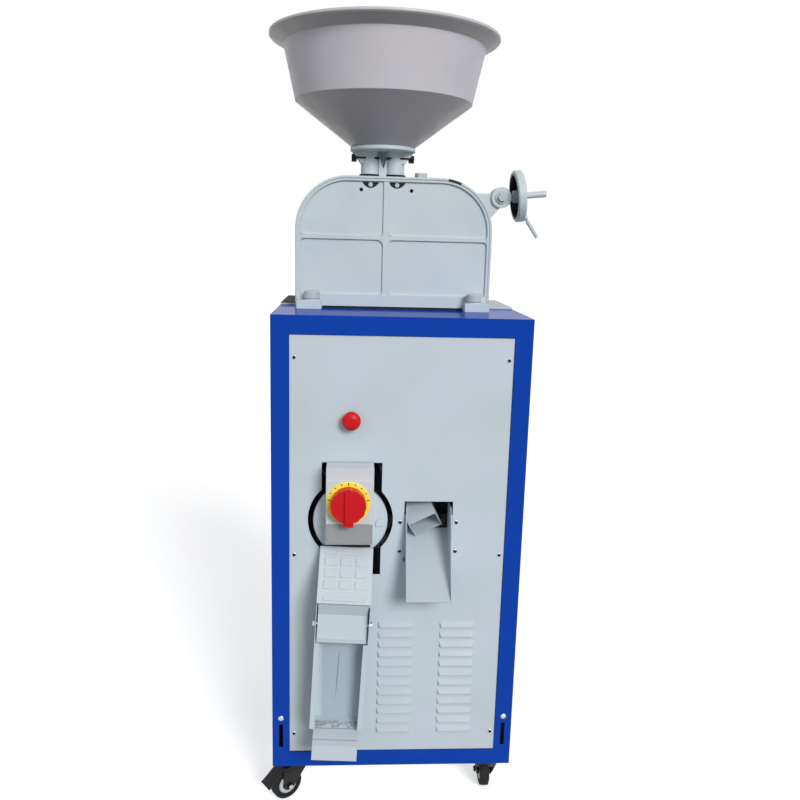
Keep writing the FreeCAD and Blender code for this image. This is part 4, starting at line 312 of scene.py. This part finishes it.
def blue_coat():
    """Deep blue gloss paint that mirrors only at a low angle."""
    blue = powder_coat("blue_paint", linear(0, 64, 170), 0.30)
    blue.shader.inputs["Specular IOR Level"].default_value = 0.0
    blue.shader.inputs["Coat Weight"].default_value = 0.5
    blue.shader.inputs["Coat IOR"].default_value = 1.28
    blue.shader.inputs["Coat Roughness"].default_value = 0.12
    blue.edges(0.002, linear(20, 84, 190), 0.4)
    return blue


def grey_coat():
    """The panels' paint, with painted shade where it faces up and inside the trough."""
    grey = powder_coat("grey_paint", linear(196, 208, 214), 0.42)
    # painted shade: surfaces facing up are darkened to take back the extra light that falls on them
    grey.tint(grey.facing(1, 0.10, 0.50, 0.75), linear(168, 178, 184))
    # painted shade: a box over the trough darkens its floor, standing in for the shadow of its cheeks and
    # cover
    trough = grey.within((-172, -62, 120), (-70, -20, 428), 0.010, 0.75)
    grey.tint(trough, linear(160, 176, 190))
    return grey


def hopper_coat():
    """The hopper's paint, with painted shade on the cone under the bowl: darker and plainer where it faces
    down.
    """
    bowl = cast_paint("hopper_paint", linear(203, 202, 211), 0.44)
    # painted shade: surfaces facing down are darkened towards a neutral grey
    bowl.tint(bowl.facing(-1, 0.25, 0.45, 0.85), linear(176, 172, 168))
    return bowl


def dark_coat(name, shade):
    """Black paint that mirrors little of the bright room."""
    black = powder_coat(name, shade, 0.42, round_off=0.001)
    black.shader.inputs["Specular IOR Level"].default_value = 0.2
    return black


def red_knob():
    """Red plastic that mirrors little of the bright room."""
    red = plastic("red_plastic", linear(204, 8, 22), 0.32)
    red.shader.inputs["Specular IOR Level"].default_value = 0.25
    return red


def make_materials():
    """One node material for every slot of the record, by its name."""
    surfaces = (
        blue_coat(),
        grey_coat(),
        cast_paint("casing_paint", linear(196, 207, 212), 0.46),
        cast_paint("bolt_paint", linear(182, 190, 194), 0.40, round_off=0.0015),
        hopper_coat(),
        metal("bare_steel", linear(190, 192, 195), 0.32),
        cast_paint("iron_casting", linear(150, 154, 158), 0.55),
        powder_coat("white_cover", linear(194, 202, 207), 0.38, drift=0.01),
        dark_coat("black_parts", linear(18, 20, 23)),
        red_knob(),
        plastic("yellow_plastic", linear(252, 230, 78), 0.42),
        plastic("grey_plastic", linear(202, 208, 212), 0.45, round_off=0.003),
        rubber("roller_rubber", linear(30, 30, 32)),
        metal("zinc_plate", linear(120, 122, 126), 0.36),
        rubber("wheel_rubber", linear(30, 30, 32)),
        dark_coat("pedal_steel", linear(28, 28, 30)),
    )
    return {surface.name: surface.material for surface in surfaces}


MATERIALS = make_materials()
SLOT_OF = {sub["node"]: sub["material_slot"] for sub in frame["record"]["subparts"]}


def dress_nodes():
    """Give every CAD node the node material of its slot."""
    for name, node in NODES.items():
        node.data.materials.clear()
        node.data.materials.append(MATERIALS[SLOT_OF[name]])


def prism(corners, front, back):
    """Points and faces of an outline in X and Z carried from one Y to another."""
    count = len(corners)
    points = [(x, front, z) for x, z in corners] + [(x, back, z) for x, z in corners]
    faces = [tuple(range(count)), tuple(range(2 * count - 1, count - 1, -1))]
    faces += [(i, i + count, (i + 1) % count + count, (i + 1) % count) for i in range(count)]
    return points, faces


def block(low, high):
    """Points and faces of a box between two corners."""
    return prism(((low[0], low[2]), (high[0], low[2]), (high[0], high[2]), (low[0], high[2])),
                 low[1], high[1])


def lathe(profile, centre, axis, steps=48):
    """Points and faces of a closed profile of (radius, height) turned about an axis."""
    axis = Vector(axis).normalized()
    side = axis.orthogonal().normalized()
    across = axis.cross(side)
    points, faces = [], []
    count = len(profile)
    for step in range(steps):
        angle = 2 * math.pi * step / steps
        ray = math.cos(angle) * side + math.sin(angle) * across
        points += [tuple(Vector(centre) + height * axis + radius * ray)
                   for radius, height in profile]
        following = (step + 1) % steps
        faces += [(step * count + i, step * count + (i + 1) % count,
                   following * count + (i + 1) % count, following * count + i)
                  for i in range(count)]
    return points, faces


def moved(shape, turn, shift):
    """A shape turned by a matrix and then shifted."""
    points, faces = shape
    return [tuple(turn @ Vector(point) + Vector(shift)) for point in points], faces


def add_piece(name, shapes, slot, body="cabinet", smooth=40):
    """One mesh of several shapes that rides on a body and takes its slot's finish."""
    points, faces = [], []
    for more_points, more_faces in shapes:
        start = len(points)
        points += [tuple(place(*point)) for point in more_points]
        faces += [tuple(start + i for i in face) for face in more_faces]
    data = bpy.data.meshes.new(name)
    data.from_pydata(points, [], faces)
    work = bmesh.new()
    work.from_mesh(data)
    bmesh.ops.remove_doubles(work, verts=work.verts, dist=0.00001)
    bmesh.ops.recalc_face_normals(work, faces=work.faces)
    work.to_mesh(data)
    work.free()
    data.shade_smooth()
    data.set_sharp_from_angle(angle=math.radians(smooth))
    data.materials.append(MATERIALS[slot])
    thing = bpy.data.objects.new(name, data)
    bpy.context.scene.collection.objects.link(thing)
    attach(thing, body)
    return thing


def arch_path(inset, foot, steps=24):
    """The husker's outline drawn in by inset, from its left foot over the crown to the right one."""
    half = HUSKER_WIDE / 2 - inset
    radius = HUSKER_ROUND - inset
    level = CROWN - inset - radius
    path = [(HUSKER_X - half, foot)]
    for side, first in ((-1, 180), (1, 90)):
        for step in range(steps + 1):
            angle = math.radians(first - 90 * step / steps)
            path.append((HUSKER_X + side * (half - radius) + radius * math.cos(angle),
                         level + radius * math.sin(angle)))
    path.append((HUSKER_X + half, foot))
    return path


def fillet(x, z, side, up, radius, steps=8):
    """The little web that rounds an inside corner, in X and Z."""
    corners = [(x, z)]
    for step in range(steps + 1):
        angle = math.pi / 2 * step / steps
        corners.append((x + side * radius * (1 - math.sin(angle)),
                        z + up * radius * (1 - math.cos(angle))))
    return corners


def casing_details():
    """Bead along the rim, rounded corners in the field, a dark strip painted as the shadow under the
    casing, shoulder strip, dark rings painted as shade round the foot bolts and rear strip.
    """
    outer = arch_path(0.8, CAB_HIGH + 20)
    inner = arch_path(5.2, CAB_HIGH + 20)
    add_piece("rim_bead", [prism(outer + inner[::-1], HUSKER_FRONT - 1.4, HUSKER_FRONT + 2)],
              "casing_paint")
    left, right = HUSKER_X - HUSKER_WIDE / 2 + RIM, HUSKER_X + HUSKER_WIDE / 2 - RIM
    near, far = RIB_X - RIB_HALF, RIB_X + RIB_HALF
    low, foot = RIB_Z - RIB_HIGH / 2, CAB_HIGH + FIELD_FOOT
    high = low + RIB_HIGH
    corners = [(near, low, -1, -1, 14), (far, low, 1, -1, 9), (near, high, -1, 1, 8),
               (far, high, 1, 1, 8), (left, low, 1, -1, 9), (right, low, -1, -1, 9),
               (left, high, 1, 1, 7), (right, high, -1, 1, 7), (left, foot, 1, 1, 9),
               (right, foot, -1, 1, 9), (near, foot, -1, 1, 8), (far, foot, 1, 1, 8)]
    add_piece("field_fillets", [prism(fillet(*corner), HUSKER_FRONT + 0.3, HUSKER_FRONT + 6)
                                for corner in corners], "casing_paint")
    half = HUSKER_WIDE / 2
    reach = half - SEAT_INSET
    # painted shadow: a dark strip along the casing's foot stands in for the shadow gap under it
    add_piece("casing_shadow_strip", [block((HUSKER_X - reach, HUSKER_FRONT - 0.8, CAB_HIGH + 0.1),
                                    (HUSKER_X + reach, HUSKER_FRONT + 3, CAB_HIGH + 5.6))],
              "roller_rubber")
    low_edge = [point for point in arch_path(5.4, CAB_HIGH)
                if SHOULDER_START < point[0] < SHOULDER_END]
    top_edge = [point for point in arch_path(0.6, CAB_HIGH)
                if SHOULDER_START < point[0] < SHOULDER_END + 3]
    strip = prism(low_edge + top_edge[::-1], HUSKER_FRONT - 1.8, HUSKER_FRONT + 22)
    add_piece("shoulder_strip", [strip], "black_parts")
    # painted shade: dark rings under the foot bolt caps stand in for the shaded gap round them
    rings = []
    for side in (-1, 1):
        for y in (HUSKER_FRONT + FOOT_FRONT_Y, HUSKER_FRONT + FOOT_REAR_Y):
            ring = ((14.0, -0.4), (18.3, -0.4), (18.3, 1.1), (14.0, 1.1))
            centre = (HUSKER_X + side * (half - BOLT_EDGE), y, CAB_HIGH + FOOT_TOP)
            rings.append(lathe(ring, centre, (0, 0, 1)))
    add_piece("foot_shade_rings", rings, "black_parts")
    add_piece("rear_edge_strip", [block((-279.2, 256, CAB_HIGH + 3.9), (-236, 483, CAB_HIGH + 5.2))],
              "roller_rubber")


def panel_shade_line():
    """A dark line painted as the shade of the recess between the front panel and its blue border."""
    side, foot, top = CAB_WIDE / 2 - BORDER_SIDE, BORDER_FOOT, CAB_HIGH - BORDER_TOP
    front, back = PANEL_FACE - 0.5, PANEL_FACE + 1.2
    # painted shade: four thin dark strips round the panel's edge, in the rubber colour
    strips = [block((-side - 0.7, front, foot - 0.7), (0.7 - side, back, top + 0.7)),
              block((side - 0.7, front, foot - 0.7), (side + 0.7, back, top + 0.7)),
              block((0.7 - side, front, foot - 0.7), (side - 0.7, back, foot + 0.7)),
              block((0.7 - side, front, top - 0.7), (side - 0.7, back, top + 0.7))]
    add_piece("panel_shade_line", strips, "roller_rubber")


def neck_details():
    """Black rings painted as the shadow under the feed tubes, black crescents painted as the shade in the
    rim's pockets, and the webs between the tubes, the back one darker as painted shade.
    """
    for name, x in zip(("left", "right"), TUBES):
        # painted shadow: a black ring where each tube meets the casing
        ring = ((20.5, 0.1), (24.8, 0.1), (25.0, 8.8), (20.5, 9.4))
        add_piece(f"neck_shade_ring_{name}", [lathe(ring, (x, TUBE_Y, CROWN), (0, 0, 1))], "black_parts")
    shade_crescents = []
    # painted shade: a black crescent on the floor of each pocket, round the nut
    for x in POCKETS:
        arc = []
        for step in range(21):
            angle = math.radians(-158.5 + 137 * step / 20)
            arc.append((x + 18.5 * math.cos(angle), CROWN - 6.5 + 18.5 * math.sin(angle)))
        shade_crescents.append(prism(arc, HUSKER_FRONT + 8.6, HUSKER_FRONT + 9.9))
    add_piece("pocket_shade", shade_crescents, "black_parts")
    middle = sum(TUBES) / 2
    web = ((middle - 10, CROWN + 1), (middle + 10, CROWN + 1), (middle + 10, CROWN + 46),
           (middle + 1, CROWN + 22), (middle - 10, CROWN + 58))
    add_piece("neck_web", [prism(web, TUBE_Y - 13, TUBE_Y - 10)], "casing_paint")
    # painted shade: the back web takes the darker iron_casting colour for the shaded recess between the
    # tubes
    back = block((middle - 12, TUBE_Y - 4, CROWN + 4), (middle + 12, TUBE_Y, CROWN + 70))
    add_piece("neck_web_back", [back], "iron_casting")


def dial_details():
    """Marks on the dial, the lobes of the knob, the box's lower skirt and a black strip painted as the
    shadow in the gap under it.
    """
    x, y, z = DIAL
    marks = []
    for angle in range(-80, 81, 20):
        turn = Matrix.Rotation(math.radians(angle), 3, "Y")
        long = 6.5 if angle in (-80, 0, 80) else 4.0
        mark = block((-0.9, -0.35, MARK_REACH - long), (0.9, 0.2, MARK_REACH))
        marks.append(moved(mark, turn, (x, y, z)))
    add_piece("dial_marks", marks, "black_parts")
    lobes = []
    for step in range(144):
        angle = 2 * math.pi * step / 144
        reach = KNOB_RADIUS + KNOB_LOBE * abs(math.cos(6 * angle))
        lobes.append((x + reach * math.cos(angle), z + reach * math.sin(angle)))
    tab = block((x - 11, y - 23, z - 46), (x + 11, y - 9, z - 28))
    add_piece("knob_lobes", [prism(lobes, y - 24.5, y - 1.6), tab], "red_plastic", "switch_body")
    skirt = block((-157.6, SWITCH_FRONT - 0.7, 572.5), (-58.4, SWITCH_FRONT + 1, 616.5))
    add_piece("switch_skirt", [skirt], "iron_casting")
    # painted shadow: a black strip in the gap between the box and the cover below it
    add_piece("switch_gap_shadow", [block((-162, -10, 549.2), (-61, -5, 553.6))], "black_parts")


def trough_floor(z):
    """Y of the trough's floor in the chute's own frame."""
    return -45.6 + 6 * (-124 - z) / 296


def chute_details():
    """The trough's pressed crease, and on its spout dark lines painted as the shade along its folds, and
    bran.
    """
    turn = Matrix.Rotation(CHUTE_TILT, 3, "Y")
    points = []
    for x, z, half, high, tip in ((-2.0, -232.0, 0.4, 1.2, -4), (-3.2, -292.0, 1.4, 1.8, 0),
                                  (-4.5, -352.0, 0.4, 1.2, 4)):
        y = trough_floor(z)
        points += [(x - half, y - 0.1, z), (x + half, y - 0.1, z), (x, y - high, z + tip)]
    faces = [(0, 2, 1), (6, 7, 8)]
    for low in (0, 3):
        faces += [(low, low + 3, low + 5, low + 2), (low + 1, low + 2, low + 5, low + 4),
                  (low, low + 1, low + 4, low + 3)]
    crease = moved((points, faces), turn, CHUTE)
    add_piece("trough_crease", [crease], "grey_paint", "trough_body", smooth=20)
    fold = Vector(SPOUT_FALL).normalized()
    lip = Matrix((Vector((1, 0, 0)), fold, Vector((0, fold.z, -fold.y)))).transposed()
    chance = random.Random(CRUMB_SEED)
    # painted shade: two dark strips along the spout's folds; the crumbs added below are bran
    marks = [block((-50, 29.6, -0.2), (50, 31.2, 0.7)), block((-50, 55.6, -0.2), (50, 56.8, 0.6))]
    for _ in range(CRUMBS):
        x, down = chance.uniform(-47, 47), chance.uniform(13, 27)
        long, thick = chance.uniform(2.0, 5.0), chance.uniform(0.8, 1.7)
        turned = chance.uniform(-0.7, 0.7)
        marks.append(lathe(((0, -long), (thick, -0.5 * long), (thick * 1.1, 0.3 * long), (0, long)),
                           (x, down, 0.5), (math.cos(turned), math.sin(turned), 0), 7))
    marks = [moved(moved(mark, lip, SPOUT_START), turn, CHUTE) for mark in marks]
    add_piece("trough_bran_and_fold_shade", marks, "iron_casting", "trough_body")


def screw_socket_shade():
    """Black hexagons painted as the shade in the sockets of the panel's screw heads."""
    sockets = []
    spots = [(side * (CAB_WIDE / 2 - SCREW_INSET), level)
             for side in (-1, 1) for level in SCREW_LEVELS]
    spots += [(TRAY_X + side * TRAY_SCREW_REACH, level)
              for side in (-1, 1) for level in TRAY_SCREW_LEVELS]
    # painted shade: a black hexagon disc on each screw head
    socket = ((0, 1.8), (3.8, 1.8), (3.8, 2.5), (0, 2.5))
    for x, z in spots:
        sockets.append(lathe(socket, (x, PANEL_FACE, z), (0, -1, 0), 6))
    add_piece("screw_socket_shade", sockets, "black_parts")


def wheel_hollow():
    """Painted shade inside the handwheel's dished side: a black skin over its shadowed hollow."""
    turn = Matrix.Rotation(-ADJUST_TILT, 3, "Y")
    left, right = WHEEL_AT - 11, WHEEL_AT + 9
    web = right - 5
    skin = ((16.2, web - 0.4), (46.6, web - 0.4), (49.6, left - 0.3), (53.5, left - 0.3),
            (53.5, left + 0.1), (50.2, left + 0.1), (47.2, web + 0.1), (16.2, web + 0.1))
    # painted shade: black over the dish's inner face and the inner half of the rim's face
    hollow_shade = lathe(skin, (0, 0, 0), (1, 0, 0), 72)
    add_piece("handwheel_hollow_shade", [moved(hollow_shade, turn, ADJUSTER)], "black_parts", "handwheel_body")


def caster_details():
    """Pale rim rings on both faces of each caster's wheel and bright axle nuts."""
    for name, (side, y, trail) in CASTERS.items():
        angle = math.radians(trail)
        x = side * (CAB_WIDE / 2 - CASTER_EDGE) + CASTER_TRAIL * math.cos(angle)
        y = y + CASTER_TRAIL * math.sin(angle)
        axle = Vector((-math.sin(angle), math.cos(angle), 0))
        rings, nuts = [], []
        for face in (-1, 1):
            ring = ((13.5, 9.0), (15.0, 11.2), (21.5, 11.2), (24.0, 9.0))
            rings.append(lathe(ring, (x, y, CASTER_LEVEL), face * axle))
            nut = ((0, 23.0), (4.6, 23.0), (5.6, 24.0), (4.6, 26.0), (0, 26.4))
            nuts.append(lathe(nut, (x, y, CASTER_LEVEL), face * axle, 12))
        add_piece(f"caster_rings_{name}", rings, "white_cover", f"wheel_{name}")
        add_piece(f"caster_nuts_{name}", nuts, "bare_steel", f"fork_{name}")


def add_camera():
    """The camera at the photograph's place and angle."""
    data = bpy.data.cameras.new("camera")
    data.lens = CAMERA_LENS
    data.sensor_width = 36
    data.clip_end = 100
    camera = bpy.data.objects.new("camera", data)
    bpy.context.scene.collection.objects.link(camera)
    yaw, pitch, roll = (math.radians(a) for a in (CAMERA_YAW, CAMERA_PITCH, CAMERA_ROLL))
    forward = Vector((math.sin(yaw) * math.cos(pitch), math.cos(yaw) * math.cos(pitch),
                      -math.sin(pitch)))
    right = Vector((math.cos(yaw), -math.sin(yaw), 0))
    up = right.cross(forward)
    across = math.cos(roll) * right + math.sin(roll) * up
    above = -math.sin(roll) * right + math.cos(roll) * up
    turn = Matrix((across, above, -forward)).transposed()
    camera.matrix_world = Matrix.Translation(place(*CAMERA_AT)) @ turn.to_4x4()
    bpy.context.scene.camera = camera


def background_rays(nodes, links):
    """One where a camera, mirror or glass ray arrives and nought for bounced light."""
    path = nodes.new("ShaderNodeLightPath")
    total = path.outputs["Is Camera Ray"]
    for kind in ("Is Glossy Ray", "Is Transmission Ray"):
        larger = nodes.new("ShaderNodeMath")
        larger.operation = "MAXIMUM"
        links.new(total, larger.inputs[0])
        links.new(path.outputs[kind], larger.inputs[1])
        total = larger.outputs["Value"]
    return total


def add_stage():
    """A floor that looks white with a soft shadow, and throws little light back up."""
    floor = bpy.data.meshes.new("floor")
    half = 60.0
    floor.from_pydata([(-half, -half, 0), (half, -half, 0), (half, half, 0), (-half, half, 0)], [],
                      [(0, 1, 2, 3)])
    thing = bpy.data.objects.new("floor", floor)
    bpy.context.scene.collection.objects.link(thing)
    material = bpy.data.materials.new("floor_white")
    material.use_nodes = True
    nodes, links = material.node_tree.nodes, material.node_tree.links
    nodes.clear()
    out = nodes.new("ShaderNodeOutputMaterial")
    shown = nodes.new("ShaderNodeBsdfDiffuse")
    shown.inputs["Color"].default_value = (0.95, 0.95, 0.95, 1)
    lift = nodes.new("ShaderNodeEmission")
    lift.inputs["Strength"].default_value = FLOOR_LIFT
    both = nodes.new("ShaderNodeAddShader")
    links.new(shown.outputs["BSDF"], both.inputs[0])
    links.new(lift.outputs["Emission"], both.inputs[1])
    bounced = nodes.new("ShaderNodeBsdfDiffuse")
    bounced.inputs["Color"].default_value = (0.22, 0.22, 0.22, 1)
    mix = nodes.new("ShaderNodeMixShader")
    links.new(background_rays(nodes, links), mix.inputs["Fac"])
    links.new(bounced.outputs["BSDF"], mix.inputs[1])
    links.new(both.outputs["Shader"], mix.inputs[2])
    links.new(mix.outputs["Shader"], out.inputs["Surface"])
    floor.materials.append(material)


def add_sun(name, direction, spread, strength):
    """A wide soft lamp far away; direction is where its light goes."""
    data = bpy.data.lights.new(name, "SUN")
    data.energy = strength
    data.angle = math.radians(spread)
    lamp = bpy.data.objects.new(name, data)
    bpy.context.scene.collection.objects.link(lamp)
    lamp.matrix_world = Vector(direction).to_track_quat("-Z", "Y").to_matrix().to_4x4()


def add_light():
    """A pale room and three wide soft lamps."""
    world = bpy.data.worlds.new("studio")
    bpy.context.scene.world = world
    world.use_nodes = True
    nodes, links = world.node_tree.nodes, world.node_tree.links
    nodes.clear()
    out = nodes.new("ShaderNodeOutputWorld")
    soft = nodes.new("ShaderNodeBackground")
    soft.inputs["Color"].default_value = (0.95, 0.97, 1.0, 1)
    soft.inputs["Strength"].default_value = WORLD_LIGHT
    white = nodes.new("ShaderNodeBackground")
    white.inputs["Color"].default_value = (1, 1, 1, 1)
    white.inputs["Strength"].default_value = 1.0
    mix = nodes.new("ShaderNodeMixShader")
    links.new(background_rays(nodes, links), mix.inputs["Fac"])
    links.new(soft.outputs["Background"], mix.inputs[1])
    links.new(white.outputs["Background"], mix.inputs[2])
    links.new(mix.outputs["Shader"], out.inputs["Surface"])
    add_sun("key", (-0.45, 1.0, -0.54), 24, 2.3)
    add_sun("top", (0.1, 0.25, -1.0), 60, 0.25)
    add_sun("fill", (0.8, 0.7, -0.35), 60, 0.2)
    bpy.context.scene.view_settings.view_transform = "Standard"


dress_nodes()
casing_details()
panel_shade_line()
neck_details()
dial_details()
chute_details()
screw_socket_shade()
wheel_hollow()
caster_details()
add_camera()
add_stage()
add_light()
